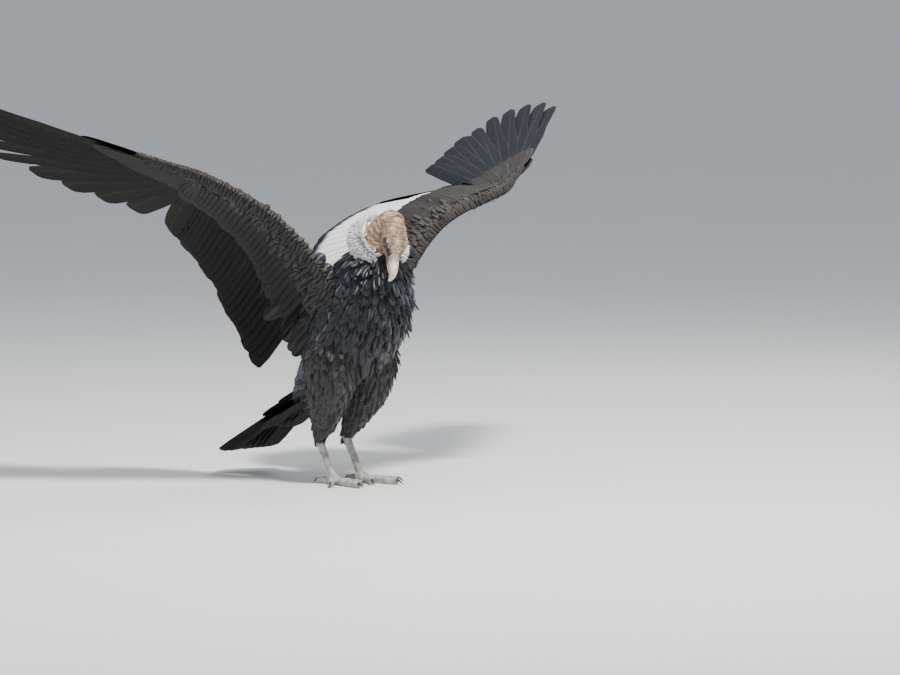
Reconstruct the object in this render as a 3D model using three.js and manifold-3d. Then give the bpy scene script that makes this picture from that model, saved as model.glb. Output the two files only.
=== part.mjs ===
// An adult female Andean condor, life size, standing with both wings raised and swept back.
// It faces -Y, its left side is +X and +Z is up. Millimetres.
// The flesh, the wings and the tail are laid out in the bird's own frame, whose zero is on the floor
// between the feet. The head and each foot are groups with frames of their own.
import * as THREE from "three";
import { mergeVertices } from "three/addons/utils/BufferGeometryUtils.js";
import Module from "manifold-3d";

const wasm = await Module();
wasm.setup();

// Driving sizes.
const GAP = 0.35; // kept between pieces that touch
const VANE_EDGE = 0.8; // thickness of a feather
const SHINGLE = THREE.MathUtils.degToRad(5); // tilt by which each feather clears the next
const SLIVER = 0.02; // edges shorter than this are closed up in joins and cuts
const SEED = 7;

const V = (x, y, z) => new THREE.Vector3(x, y, z);
const { lerp, clamp, degToRad } = THREE.MathUtils;

let state = SEED;
// A repeatable draw between -1 and 1.
function draw() {
  state = (state * 16807) % 2147483647;
  return (2 * state) / 2147483647 - 1;
}

// Solids.

function solidOf(points, faces) {
  const make = (triangles) => new wasm.Manifold(new wasm.Mesh({
    numProp: 3,
    vertProperties: new Float32Array(points.flatMap((p) => [p.x, p.y, p.z])),
    triVerts: new Uint32Array(triangles.flat()),
    tolerance: SLIVER,
  }));
  const made = make(faces);
  return made.volume() > 0 ? made : make(faces.map(([a, b, c]) => [a, c, b]));
}

// A three.js geometry as a solid, placed by a matrix.
function solidFrom(geometry, matrix = new THREE.Matrix4()) {
  const bare = geometry.clone().applyMatrix4(matrix);
  bare.deleteAttribute("normal");
  bare.deleteAttribute("uv");
  const merged = mergeVertices(bare, 1e-3);
  const at = merged.getAttribute("position");
  const points = Array.from({ length: at.count }, (_, i) => V(at.getX(i), at.getY(i), at.getZ(i)));
  const index = Array.from(merged.index.array);
  const faces = Array.from({ length: index.length / 3 }, (_, i) => index.slice(3 * i, 3 * i + 3));
  const whole = faces.filter(([a, b, c]) => a !== b && b !== c && a !== c);
  return solidOf(points, whole);
}

function geometryOf(solid) {
  const mesh = solid.getMesh();
  const at = new Float32Array(mesh.numVert * 3);
  for (let i = 0; i < mesh.numVert; i++) {
    at.set(mesh.vertProperties.subarray(i * mesh.numProp, i * mesh.numProp + 3), i * 3);
  }
  const geometry = new THREE.BufferGeometry();
  geometry.setAttribute("position", new THREE.BufferAttribute(at, 3));
  geometry.setIndex(new THREE.BufferAttribute(mesh.triVerts, 1));
  return geometry.toNonIndexed();
}

const join = (solids) => wasm.Manifold.union(solids);

// The largest closed surface, with any sealed hollow filled.
function largest(solid) {
  const bodies = solid.decompose().filter((b) => b.volume() > 0);
  return bodies.reduce((a, b) => (b.volume() > a.volume() ? b : a));
}

// A skin over rings of points. Where it is a plate, both faces are split into triangles alike.
function skin(rings, plate = false) {
  const n = rings[0].length;
  const points = rings.flat();
  const faces = [];
  for (let r = 0; r + 1 < rings.length; r++) {
    for (let i = 0; i < n; i++) {
      const [a, b] = [r * n + i, r * n + ((i + 1) % n)];
      const [c, d] = [a + n, b + n];
      if (plate && i >= n / 2) faces.push([a, b, c], [b, d, c]);
      else faces.push([a, b, d], [a, d, c]);
    }
  }
  const last = (rings.length - 1) * n;
  if (plate) {
    for (let i = 1; i + 1 < n; i++) faces.push([0, i + 1, i], [last, last + i, last + i + 1]);
    return solidOf(points, faces);
  }
  for (const [start, flip] of [[0, true], [last, false]]) {
    const middle = points.length;
    points.push(rings[start / n].reduce((s, p) => s.add(p), V(0, 0, 0)).divideScalar(n));
    for (let i = 0; i < n; i++) {
      const [a, b] = [start + i, start + ((i + 1) % n)];
      faces.push(flip ? [middle, b, a] : [middle, a, b]);
    }
  }
  return solidOf(points, faces);
}

// Rows of numbers, read smoothly between: t runs from 0 at the first row to 1 at the last.
function between(rows, t) {
  const at = clamp(t, 0, 1) * (rows.length - 1);
  const i = Math.min(Math.floor(at), rows.length - 2);
  const f = at - i;
  const row = (k) => rows[clamp(k, 0, rows.length - 1)];
  return rows[0].map((_, c) => {
    const [p0, p1, p2, p3] = [row(i - 1)[c], row(i)[c], row(i + 1)[c], row(i + 2)[c]];
    const [m1, m2] = [(p2 - p0) / 2, (p3 - p1) / 2];
    return (
      (2 * f ** 3 - 3 * f ** 2 + 1) * p1 + (f ** 3 - 2 * f ** 2 + f) * m1 +
      (-2 * f ** 3 + 3 * f ** 2) * p2 + (f ** 3 - f ** 2) * m2
    );
  });
}

// Flesh along a line. Each row is [x, y, z, half width, reach upwards, reach downwards].
function flesh(rows, {
  steps, sides = 20, grow = 0, across = V(1, 0, 0), fold = () => 0, floor = -Infinity,
}) {
  const at = (t) => between(rows, t);
  const spot = (t) => V(...at(t).slice(0, 3));
  const rings = [];
  for (let k = 0; k <= steps; k++) {
    const t = k / steps;
    const [, , , wide, up, down] = at(t);
    const along = spot(Math.min(t + 0.01, 1)).sub(spot(Math.max(t - 0.01, 0))).normalize();
    const end = k === 0 ? -grow : k === steps ? grow : 0;
    const centre = spot(t).addScaledVector(along, end);
    const side = across.clone().addScaledVector(along, -across.dot(along)).normalize();
    const top = side.clone().cross(along).normalize();
    rings.push(
      Array.from({ length: sides }, (_, i) => {
        const turn = (2 * Math.PI * (i + 0.5)) / sides;
        const [c, s] = [Math.cos(turn), Math.sin(turn)];
        const swell = grow + fold(t, turn);
        const reach = (s > 0 ? up : down) + swell;
        const spot = centre.clone().addScaledVector(side, c * (wide + swell)).addScaledVector(top, s * reach);
        return spot.setZ(Math.max(spot.z, floor));
      }),
    );
  }
  return skin(rings);
}

// One feather or lock: a thin plate along its shaft, a function of the distance s from the root.
// beside is the same function for the next place outwards, so that neighbours lie on one surface.
// shape rows are [share of the length, half width outwards, half width inwards], in widths.
function vane({
  shaft, beside, normal, side = 1, length, width, shape, edge = VANE_EDGE, tilt = SHINGLE, grow = 0,
}) {
  const rings = shape.map(([t, outer, inner], k) => {
    const end = k === 0 ? -grow : k === shape.length - 1 ? grow : 0;
    const spot = shaft(length * t);
    const along = shaft(length * t + 1).sub(spot).normalize();
    const lead = beside ? beside(length * t).sub(spot) : along.clone().cross(normal).multiplyScalar(side);
    lead.addScaledVector(along, -lead.dot(along)).normalize();
    const up = lead.clone().cross(along);
    if (up.dot(normal) < 0) up.negate();
    const flat = lead.clone().multiplyScalar(Math.cos(tilt)).addScaledVector(up, Math.sin(tilt));
    const face = up.clone().multiplyScalar(Math.cos(tilt)).addScaledVector(lead, -Math.sin(tilt));
    const half = edge / 2 + grow;
    spot.addScaledVector(along, end);
    const at = (w, h) => spot.clone().addScaledVector(flat, w).addScaledVector(face, h);
    const [l, r] = [outer * width + grow, -inner * width - grow];
    return [at(l, half), at(r, half), at(r, -half), at(l, -half)];
  });
  return skin(rings, true);
}

const PRIMARY = [
  [0, 0.1, 0.12], [0.22, 0.32, 0.62], [0.48, 0.34, 0.66], [0.64, 0.24, 0.44], [0.9, 0.2, 0.36], [1, 0.05, 0.09],
];
const INNER_PRIMARY = [[0, 0.12, 0.14], [0.3, 0.36, 0.62], [0.65, 0.38, 0.62], [0.9, 0.3, 0.5], [1, 0.1, 0.14]];
const SECONDARY = [[0, 0.2, 0.24], [0.14, 0.34, 0.46], [0.35, 0.42, 0.58], [0.82, 0.42, 0.56], [1, 0.16, 0.2]];
const COVERT = [[0, 0.34, 0.34], [0.72, 0.5, 0.5], [1, 0.2, 0.2]];
const ARM_COVERT = [[0, 0.34, 0.34], [0.35, 0.44, 0.44], [0.72, 0.5, 0.5], [1, 0.2, 0.2]];
const LOCK = [[0, 0.4, 0.4], [0.5, 0.5, 0.5], [1, 0.06, 0.06]];

// Torso: spine rows from the base of the neck to the rump.
const TORSO = [
  [0, -122, 622, 52, 50, 50],
  [0, -108, 588, 88, 76, 78],
  [0, -84, 532, 116, 100, 112],
  [0, -54, 468, 126, 108, 128],
  [0, -20, 408, 124, 106, 122],
  [0, 22, 350, 116, 98, 108],
  [0, 72, 302, 100, 82, 86],
  [0, 126, 264, 76, 60, 62],
  [0, 178, 232, 50, 36, 38],
];
const torsoSolid = (grow) => flesh(TORSO, { steps: 11, sides: 18, grow });

// Neck: bare skin in ring folds, bent down to the nape.
const NECK = [
  [0, -92, 604, 46, 46, 46],
  [0, -118, 642, 43, 43, 42],
  [1, -142, 672, 39, 39, 38],
  [3, -166, 690, 34, 34, 35],
  [3, -184, 684, 29, 29, 32],
];
const NECK_FOLDS = 4;
const NECK_FOLD_DEPTH = 1.6;
const neckSolid = (grow) =>
  flesh(NECK, {
    steps: 15, sides: 11, grow,
    fold: (t) => NECK_FOLD_DEPTH * Math.cos(2 * Math.PI * NECK_FOLDS * t),
  });

// Ruff: a collar of down on an arc round the base of the neck, open below the throat.
const RUFF = {
  centre: V(0, -116, 636), axis: V(0, -0.82, 0.57), ring: 58, core: 13, locks: 12, open: degToRad(80),
};

function ruffSolid() {
  const { centre, axis, ring, core, locks, open } = RUFF;
  const side = V(1, 0, 0);
  const top = side.clone().cross(axis.clone().negate()).normalize();
  const outwards = (turn) => side.clone().multiplyScalar(Math.sin(turn)).addScaledVector(top, Math.cos(turn));
  const reach = Math.PI - open / 2;
  const steps = 14;
  const rings = Array.from({ length: steps + 1 }, (_, k) => {
    const turn = lerp(-reach, reach, k / steps);
    const out = outwards(turn);
    const slim = Math.abs(turn) > reach * 0.97 ? 0.6 : 1;
    return Array.from({ length: 6 }, (_, i) => {
      const a = (2 * Math.PI * i) / 6;
      return centre.clone().addScaledVector(out, ring + core * slim * Math.cos(a))
        .addScaledVector(axis, 1.35 * core * slim * Math.sin(a));
    });
  });
  const pieces = [skin(rings)];
  // Two tiers, one laid back on the shoulders and one laid forward along the neck.
  const tiers = [
    { lean: -36, set: -9, length: 32, width: 25 },
    { lean: 26, set: 8, length: 28, width: 23 },
  ];
  tiers.forEach(({ lean, set, length, width }, tier) => {
    for (let k = 0; k < locks; k++) {
      const turn = lerp(-reach, reach, (k + 0.5 + 0.25 * (tier % 2)) / (locks + 0.25));
      const out = outwards(turn);
      const angle = degToRad(lean + 5 * draw());
      const along = out.clone().multiplyScalar(Math.cos(angle)).addScaledVector(axis, Math.sin(angle));
      const normal = axis.clone().multiplyScalar(Math.cos(angle)).addScaledVector(out, -Math.sin(angle));
      const root = centre.clone().addScaledVector(out, ring - 2).addScaledVector(axis, set * 0.7);
      const curl = lean < 0 ? -0.004 : 0.003;
      const shaft = (s) => root.clone().addScaledVector(along, s).addScaledVector(normal, curl * s * s);
      pieces.push(vane({
        shaft, normal, length: length * (1 + 0.12 * draw()), width, shape: LOCK, edge: 3.2, tilt: degToRad(9),
      }));
    }
  });
  return join(pieces);
}

// Wings. Each has a leading edge from the shoulder by the wrist to the end of the hand, a chord that
// arches up along the arm, and the way that the arm's feathers lie at its root and at the wrist, in
// and down from there. side is 1 on the left and -1 on the right.
const HAND_LENGTH = 165;
const WINGS = {
  right: {
    side: -1, shoulder: V(-96, -92, 492), mid: V(-272, -44, 698), wrist: V(-466, 39, 823),
    hand: V(-0.71, 0.63, 0.31), rootChord: V(0.04, 0.93, -0.36), wristChord: V(0.22, 0.949, -0.24),
    arch: 0.2, rootLie: V(0.05, 0.75, -0.66), wristLie: V(0.4, 0.83, -0.38), fan: 78, curl: 1e-4,
  },
  left: {
    side: 1, shoulder: V(98, -84, 512), mid: V(301, -36, 670), wrist: V(538, -14, 756),
    hand: V(0.77, 0.513, 0.31), rootChord: V(-0.02, 0.96, -0.2), wristChord: V(0.17, 0.97, 0.13),
    arch: 0.3, rootLie: V(-0.08, 0.95, -0.3), wristLie: V(-0.22, 0.965, -0.1), fan: 47, curl: -4e-5,
  },
};
// Fleshy part of the wing by stations from the shoulder to the hand's end: [chord, thickness].
const WING_CORE = [[150, 78], [150, 54], [142, 38], [120, 31], [84, 27], [66, 22], [50, 17], [36, 13], [22, 9]];

// The wing at q: 0 at the shoulder, 1 at the wrist, 2 at the hand's end.
function station(wing, q) {
  const hand = wing.hand.clone().normalize();
  const line = new THREE.CatmullRomCurve3([
    wing.shoulder, wing.mid, wing.wrist,
    wing.wrist.clone().addScaledVector(hand, HAND_LENGTH / 2),
    wing.wrist.clone().addScaledVector(hand, HAND_LENGTH),
  ]);
  const u = clamp(q / 2, 0, 1);
  const span = line.getTangent(u);
  const edge = line.getPoint(u).addScaledVector(span, Math.min(q, 0) * wing.shoulder.distanceTo(wing.wrist));
  const chord = wing.rootChord.clone().lerp(wing.wristChord, clamp(q, 0, 1));
  chord.z += wing.arch * Math.sin(Math.PI * clamp(q, 0, 1));
  chord.addScaledVector(span, -chord.dot(span)).normalize();
  const normal = span.clone().cross(chord).multiplyScalar(wing.side).normalize();
  const [depth, thick] = between(WING_CORE, q / 2);
  return { edge, span, chord, normal, depth, thick };
}

// Outline of the fleshy wing, as shares of its chord and thickness, round from the leading edge.
const AEROFOIL = [
  [0, 0], [0.06, 0.32], [0.22, 0.52], [0.55, 0.44], [1, 0.08], [1, -0.04], [0.5, -0.22], [0.16, -0.36],
];
const onWing = ({ edge, chord, normal, depth, thick }, back, up) =>
  edge.clone().addScaledVector(chord, depth * back).addScaledVector(normal, thick * up);

function wingCore(wing, from, to, steps, grow) {
  const rings = Array.from({ length: steps + 1 }, (_, k) => {
    const at = station(wing, lerp(from, to, k / steps));
    const end = k === 0 ? -grow : k === steps ? grow : 0;
    const middle = onWing(at, 0.4, 0.08);
    return AEROFOIL.map(([back, up]) => {
      const spot = onWing(at, back, up);
      const out = spot.clone().sub(middle).normalize();
      return spot.addScaledVector(out, grow).addScaledVector(at.span, end);
    });
  });
  return skin(rings);
}

// How the feathers lie at q: their way, and a surface that they all follow at some height above it.
// On the arm it leaves the flesh along the chord and bends to the feathers' own way.
const REFERENCE = 0.72; // share of the chord where that surface leaves the flesh
const BEND = 90; // length over which it bends
const CLOSING = 0.75; // under 1, the outer primaries lie closer together than the inner ones
function lie(wing, q) {
  const at = station(wing, q);
  const hand = wing.hand.clone().normalize();
  const back = wing.wristChord.clone().addScaledVector(hand, -wing.wristChord.dot(hand)).normalize();
  const flat = hand.clone().cross(back).multiplyScalar(wing.side);
  const turn = degToRad(lerp(wing.fan, 3, clamp(q - 1, 0, 1) ** CLOSING));
  const fan = hand.clone().multiplyScalar(Math.cos(turn)).addScaledVector(back, Math.sin(turn));
  const arm = q < 1;
  const along = arm ? wing.rootLie.clone().lerp(wing.wristLie, clamp(q, 0, 1)).normalize() : fan;
  const first = arm ? at.chord : fan;
  const start = onWing(at, REFERENCE, 0.05);
  const camber = lerp(-1e-4, wing.curl, q / 2);
  const surface = (s, height) => {
    const bent = s < BEND ? Math.max(s, 0) ** 2 / (2 * BEND) : s - BEND / 2;
    const way = first.clone().lerp(along, clamp(s / BEND, 0, 1));
    const up = arm ? at.span.clone().cross(way).multiplyScalar(wing.side).normalize() : flat;
    return start.clone().addScaledVector(first, s - bent).addScaledVector(along, bent)
      .addScaledVector(up, height + camber * s * Math.abs(s));
  };
  const normal = arm ? at.span.clone().cross(along).multiplyScalar(wing.side).normalize() : flat;
  return { ...at, along, normal, surface };
}

// A tier of feathers from one place on a wing to another. from and to are q, back is the share of
// the chord where they are rooted, height is above the surface that they follow.
function tier(wing, { count, from, to, back, height, length, width, shape, tilt, droop = 0 }, grow) {
  return Array.from({ length: count }, (_, k) => {
    const u = k / (count - 1);
    const q = lerp(from, to, u);
    const at = lie(wing, q);
    const next = lie(wing, q + 0.02);
    const start = (back - REFERENCE) * at.depth;
    const fall = (s) => height - droop * s;
    return vane({
      shaft: (s) => at.surface(start + s, fall(s)),
      beside: (s) => next.surface(start + s, fall(s)),
      normal: at.normal, length: length(u, k), width: width(u), shape: shape(k), tilt, grow,
    });
  });
}

const jitter = Array.from({ length: 64 }, draw);
const always = (value) => () => value;
const FLIGHT = 12; // secondaries with the tertials
const ARM_COVERTS = 7;

function armSolid(wing, grow = 0) {
  return join([
    wingCore(wing, -0.03, 1, 7, grow),
    ...tier(wing, {
      count: FLIGHT, from: 0.08, to: 0.965, back: 0.72, height: 0, shape: always(SECONDARY),
      length: (u, k) => lerp(325, 362, Math.min(1, u * 3)) * (1 + 0.025 * jitter[k]), width: always(60),
    }, grow),
    ...tier(wing, {
      count: ARM_COVERTS, from: 0.12, to: 0.97, back: 0.55, height: 9, shape: always(ARM_COVERT),
      length: (u, k) => lerp(205, 165, u) * (1 + 0.03 * jitter[k + 30]), width: always(66),
    }, grow),
    ...tier(wing, {
      count: ARM_COVERTS, from: 0.1, to: 0.96, back: 0.3, height: 18, shape: always(ARM_COVERT), droop: 0.02,
      length: (u, k) => lerp(150, 118, u) * (1 + 0.03 * jitter[k + 44]), width: always(62),
    }, grow),
    ...tier(wing, {
      count: ARM_COVERTS - 2, from: 0.13, to: 0.95, back: 0.55, height: -9, shape: always(COVERT),
      length: (u, k) => lerp(180, 140, u) * (1 + 0.03 * jitter[k + 10]), width: always(66),
    }, grow),
  ]);
}

// Lengths of the ten primaries, from the innermost to the outermost.
const PRIMARIES = [410, 450, 500, 555, 610, 660, 690, 692, 655, 575];

function handSolid(wing, grow = 0) {
  return join([
    wingCore(wing, 1.004, 2, 4, grow),
    ...tier(wing, {
      count: PRIMARIES.length, from: 1.07, to: 1.94, back: 0.6, height: 0,
      shape: (k) => (k > 3 ? PRIMARY : INNER_PRIMARY), tilt: SHINGLE * 1.3,
      length: (u, k) => PRIMARIES[k] * (1 + 0.012 * jitter[k + 5]), width: (u) => lerp(68, 78, u),
    }, grow),
    ...tier(wing, {
      count: 6, from: 1.1, to: 1.86, back: 0.4, height: 7, shape: always(COVERT),
      length: (u) => lerp(150, 165, u), width: always(50),
    }, grow),
    ...tier(wing, {
      count: 4, from: 1.1, to: 1.86, back: 0.4, height: -7, shape: always(COVERT),
      length: (u) => lerp(120, 130, u), width: always(50),
    }, grow),
    ...alula(wing, grow),
  ]);
}

// Three small feathers on the thumb, close along the leading edge of the hand.
function alula(wing, grow) {
  const hand = wing.hand.clone().normalize();
  return [0, 1, 2].map((k) => {
    const at = station(wing, 1.08 + 0.1 * k);
    const along = hand.clone().addScaledVector(at.chord, 0.14 * (2 - k)).normalize();
    const root = onWing(at, 0.22, 0.34).addScaledVector(at.normal, 2.2 * (2 - k));
    return vane({
      shaft: (s) => root.clone().addScaledVector(along, s), normal: at.normal, side: wing.side,
      length: 122 - 20 * k, width: 30, shape: COVERT, grow,
    });
  });
}

// Tail: the rump's end with twelve feathers in a half-closed fan, and coverts above and below.
const TAIL = {
  root: V(0, 168, 238), along: V(0, 0.865, -0.5).normalize(), pairs: 6, length: 335, spread: degToRad(13),
};
const TAIL_STEP = 1.3; // rise from one tail feather to the one that lies on it

function tailSolid() {
  const { root, along, pairs, length, spread } = TAIL;
  const up = V(1, 0, 0).cross(along).normalize();
  const core = flesh(
    [[0, 150, 250, 42, 30, 30], [0, 190, 226, 40, 24, 25], [0, 228, 205, 32, 15, 16], [0, 262, 186, 20, 6, 6]],
    { steps: 4, sides: 8 },
  );
  const pieces = [core];
  const feather = (side, out, height, reach, width, shape, start) => {
    const turn = side * spread * out;
    const way = along.clone().multiplyScalar(Math.cos(turn)).add(V(Math.sin(turn), 0, 0));
    const foot = root.clone().addScaledVector(along, start).addScaledVector(up, height);
    foot.x += side * 24 * out;
    return vane({
      shaft: (s) => foot.clone().addScaledVector(way, s).addScaledVector(up, -3e-5 * s * s),
      normal: up, side, length: reach, width, shape, tilt: 0,
    });
  };
  // The feathers lie flat on one another, left over right, and the middle pair lies on top.
  for (const side of [1, -1]) {
    for (let k = 0; k < pairs; k++) {
      const out = (k + 0.5) / pairs;
      const height = 3 - TAIL_STEP * (2 * k + (side < 0 ? 1 : 0));
      const reach = length * (1 - 0.1 * out * out) * (1 + 0.012 * draw());
      pieces.push(feather(side, out, height, reach, 62, SECONDARY, 28));
    }
    for (let k = 0; k < 2; k++) {
      const out = (k + 0.5) / 1.8;
      const step = TAIL_STEP * (2 * k + (side < 0 ? 1 : 0));
      pieces.push(feather(side, out, 13 - step, 165 * (1 - 0.1 * out), 58, COVERT, 6));
      pieces.push(feather(side, out, -17 - step, 190 * (1 - 0.1 * out), 58, COVERT, 6));
    }
  }
  return join(pieces);
}

// Legs: feathered thigh, bare shank, foot with four toes, claws.
const LEGS = {
  right: { side: -1, hip: V(-68, -8, 338), ankle: V(-57, 58, 112), sole: V(-54, 2, 0) },
  left: { side: 1, hip: V(66, -8, 338), ankle: V(47, 74, 116), sole: V(50, 14, 0) },
};

function thighRows({ side, hip, ankle }) {
  const at = (f, bow) => {
    const spot = hip.clone().lerp(ankle, f);
    return [spot.x + side * bow * 0.2, spot.y - bow, spot.z];
  };
  return [
    [...at(0, 0), 62, 76, 80],
    [...at(0.3, 14), 58, 68, 74],
    [...at(0.55, 14), 47, 53, 56],
    [...at(0.78, 7), 32, 34, 37],
    [...at(0.93, 2), 19, 20, 22],
    [...at(1.02, 0), 12, 12, 13],
  ];
}

function thighSolid(leg, grow = 0) {
  const core = flesh(thighRows(leg), { steps: 8, sides: 14, grow });
  const down = leg.ankle.clone().sub(leg.hip).normalize();
  const pieces = [core];
  const tiers = [{ f: 0.7, length: 82, width: 32 }];
  tiers.forEach(({ f, length, width }, row) => {
    const [x, y, z, wide, front, rear] = between(thighRows(leg), f);
    const around = 8;
    for (let k = 0; k < around; k++) {
      const turn = (2 * Math.PI * (k + 0.5 * row)) / around;
      const out = V(Math.cos(turn), Math.sin(turn), 0);
      const reach = Math.abs(out.x) * wide + Math.abs(out.y) * (out.y < 0 ? front : rear);
      const along = down.clone().multiplyScalar(0.97).addScaledVector(out, -0.1).normalize();
      const normal = out.clone().addScaledVector(along, -out.dot(along)).normalize();
      const root = V(x, y, z).addScaledVector(out, reach - 8);
      pieces.push(vane({
        shaft: (s) => root.clone().addScaledVector(along, s).addScaledVector(normal, 0.11 * s),
        normal, length: length * (1 + 0.1 * jitter[k + 9 * row]), width, shape: LOCK, edge: 2.2, tilt: 0, grow,
      }));
    }
  });
  return join(pieces);
}

function shankSolid({ ankle, sole }, grow = 0) {
  const foot = sole.clone().add(V(0, 0, 15));
  const at = (f) => ankle.clone().lerp(foot, f).toArray();
  const rows = [
    [...at(-0.12), 9, 10, 10], [...at(0), 12.5, 13.5, 13.5], [...at(0.12), 10.5, 12, 12],
    [...at(0.5), 8.8, 10.5, 10], [...at(0.85), 9.6, 11, 10.5], [...at(1.02), 11, 11.5, 11.5],
  ];
  return flesh(rows, { steps: 7, sides: 10, grow });
}

// Toes in the foot's own frame, which faces -Y: heading in degrees from straight ahead, joint lengths.
const TOES = [
  { name: "middle", heading: 8, joints: [36, 32, 26, 20], thick: 9.5, claw: 30 },
  { name: "inner", heading: -21, joints: [30, 26, 20], thick: 9, claw: 28 },
  { name: "outer", heading: 44, joints: [28, 22, 18, 14], thick: 8.5, claw: 25 },
  { name: "hind", heading: 176, joints: [24, 22], thick: 8, claw: 24 },
];
const TOE_WEB = 13; // how far from the foot's middle the toes begin

// The ball of the foot, from its front to its rear.
const PAD = [[0, -17, 12, 12, 8, 15], [0, -6, 13, 17.5, 14, 16], [0, 6, 14, 16.5, 15, 17], [0, 16, 13, 11, 9, 16]];

function toeRows({ heading, joints, thick }) {
  const way = V(Math.sin(degToRad(heading)), -Math.cos(degToRad(heading)), 0);
  const total = joints.reduce((a, b) => a + b, 0);
  const rows = [[0, 0, 14, thick + 3.5, 10, 13]];
  let gone = 0;
  joints.forEach((joint, k) => {
    const slim = 1 - 0.34 * (gone / total);
    const middle = way.clone().multiplyScalar(TOE_WEB + gone + joint / 2);
    const knuckle = way.clone().multiplyScalar(TOE_WEB + gone + joint);
    const rise = k === joints.length - 1 ? 8.2 : 9.6;
    rows.push([middle.x, middle.y, 9, thick * slim * 0.92, thick * slim * 0.85, 11.5]);
    rows.push([knuckle.x, knuckle.y, rise, thick * slim, thick * slim * 1.02, rise + 3]);
    gone += joint;
  });
  return { rows, way, end: way.clone().multiplyScalar(TOE_WEB + total).setZ(8.2) };
}

function footSolid(grow = 0) {
  const toes = TOES.map((toe) => {
    const { rows, way } = toeRows(toe);
    return flesh(rows, { steps: rows.length - 1, sides: 8, across: V(way.y, -way.x, 0), grow, floor: 0 });
  });
  const pad = flesh(PAD, { steps: 4, sides: 10, grow, floor: 0 });
  return join([pad, ...toes]);
}

// A claw on the end of its toe, curved down to just above the floor.
function clawSolid(toe, grow = 0) {
  const { way, end } = toeRows(toe);
  const across = V(way.y, -way.x, 0);
  const rows = [0, 0.3, 0.6, 0.85, 1].map((t) => {
    const spot = end.clone().addScaledVector(way, -5 + toe.claw * (t * 1.02 - 0.12 * t * t));
    spot.z = 9.2 + 4.5 * Math.sin(Math.PI * Math.min(t * 1.25, 1)) * 0.6 - 7.2 * t ** 2.2;
    const size = lerp(5.6, 0.9, t ** 0.85);
    return [spot.x, spot.y, spot.z, size * 0.82, size, size * 0.85];
  });
  return flesh(rows, { steps: 4, sides: 5, across, grow });
}

// Head, in its own frame: +X along the bill, +Y to its left, +Z to its crown.
const HEAD = { place: V(-10, -193, 650), facing: V(-0.3, -0.36, -0.88), crown: V(-0.14, -0.9, 0.415) };
const SKULL = [
  [-58, 0, -5, 20, 19, 22], [-47, 0, -3, 29, 27, 31], [-28, 0, 0, 33.5, 32, 34], [-4, 0, 1, 34, 33, 33],
  [16, 0, 0, 30.5, 30, 30], [33, 0, -1, 24.5, 24, 26], [46, 0, -2, 19.5, 19.5, 21.5], [52, 0, -3, 17.5, 17.5, 19.5],
];
const EYE = { x: 19, y: 24.5, z: 7, ball: 9.2 };
const headAcross = V(0, -1, 0);

function skullSolid(grow = 0) {
  return flesh(SKULL, { steps: 11, sides: 16, grow, across: headAcross });
}

const UPPER_BILL = [
  [50, 0, 0.5, 15.5, 16.5, 8], [64, 0, 0.5, 14.2, 15, 8.5], [78, 0, 0, 12.6, 13.6, 9], [88, 0, -0.5, 11.4, 14.2, 9.5],
  [97, 0, -4, 9.8, 12.2, 8], [104, 0, -11, 7.4, 8.6, 6.2], [107, 0, -20, 4.6, 5.2, 4.2], [106.5, 0, -28, 1.6, 1.8, 1.6],
];
const LOWER_BILL = [
  [50, 0, -14.2, 14, 4.4, 6], [66, 0, -14, 12.2, 4, 6], [82, 0, -13.6, 9.6, 3.4, 5.6], [94, 0, -13.4, 5.4, 2.6, 4],
];
const ball = (x, y, z, r, grow = 0, flat = 1) =>
  solidFrom(new THREE.SphereGeometry(r + grow, 10, 7), new THREE.Matrix4().makeScale(1, flat, 1).setPosition(x, y, z));

function headParts() {
  const both = (make) => [1, -1].map(make);
  const lids = both((side) => {
    const ring = new THREE.TorusGeometry(EYE.ball - 0.6, 2.1, 5, 12);
    const place = new THREE.Matrix4().makeRotationX(Math.PI / 2).setPosition(EYE.x, side * (EYE.y + 4.6), EYE.z);
    return solidFrom(ring, place);
  });
  const brows = both((side) => flesh(
    [[2, side * 27, 17, 5, 3.5, 5], [18, side * 26.5, 18.5, 5.5, 4.5, 6], [36, side * 20, 13, 3.5, 3, 5]],
    { steps: 4, sides: 6, across: headAcross },
  ));
  const sockets = both((side) => ball(EYE.x, side * EYE.y, EYE.z, EYE.ball, GAP));
  const ears = both((side) => ball(-22, side * 34, -4, 5, 0, 0.7));
  const gape = solidFrom(new THREE.BoxGeometry(34, 60, 1.4), new THREE.Matrix4().setPosition(44, 0, -10));
  const upper = flesh(UPPER_BILL, { steps: 12, sides: 12, across: headAcross });
  const lower = flesh(LOWER_BILL, { steps: 5, sides: 10, across: headAcross });
  const nostril = solidFrom(
    new THREE.CapsuleGeometry(2.3, 34, 3, 8),
    new THREE.Matrix4().makeScale(1.9, 1, 1).setPosition(66, 0, 5.5),
  );
  const face = skullSolid(GAP);
  const bill = upper.subtract(face).subtract(nostril);
  return {
    head: join([skullSolid(), ...lids, ...brows]).subtract(join([...sockets, ...ears])).subtract(gape),
    bill_upper: bill,
    bill_lower: lower.subtract(face)
      .subtract(flesh(UPPER_BILL, { steps: 12, sides: 12, across: headAcross, grow: GAP })),
    eye_left: ball(EYE.x, EYE.y, EYE.z, EYE.ball),
    eye_right: ball(EYE.x, -EYE.y, EYE.z, EYE.ball),
  };
}

// Finishes.
const finish = (color, roughness, metalness = 0) => new THREE.MeshStandardMaterial({ color, roughness, metalness });
const FINISH = {
  black: finish(0x17171a, 0.55),
  white: finish(0xf2f0ec, 0.85),
  skin: finish(0xa98a72, 0.6),
  bill: finish(0xd9cdb4, 0.35),
  eye: finish(0x5a1f16, 0.08),
  shank: finish(0xb9b3aa, 0.65),
  claw: finish(0x2a2622, 0.35),
};

const bird = new THREE.Group();
function add(name, solid, material, parent = bird) {
  const mesh = new THREE.Mesh(geometryOf(largest(solid)), material);
  mesh.name = name;
  parent.add(mesh);
}

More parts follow.
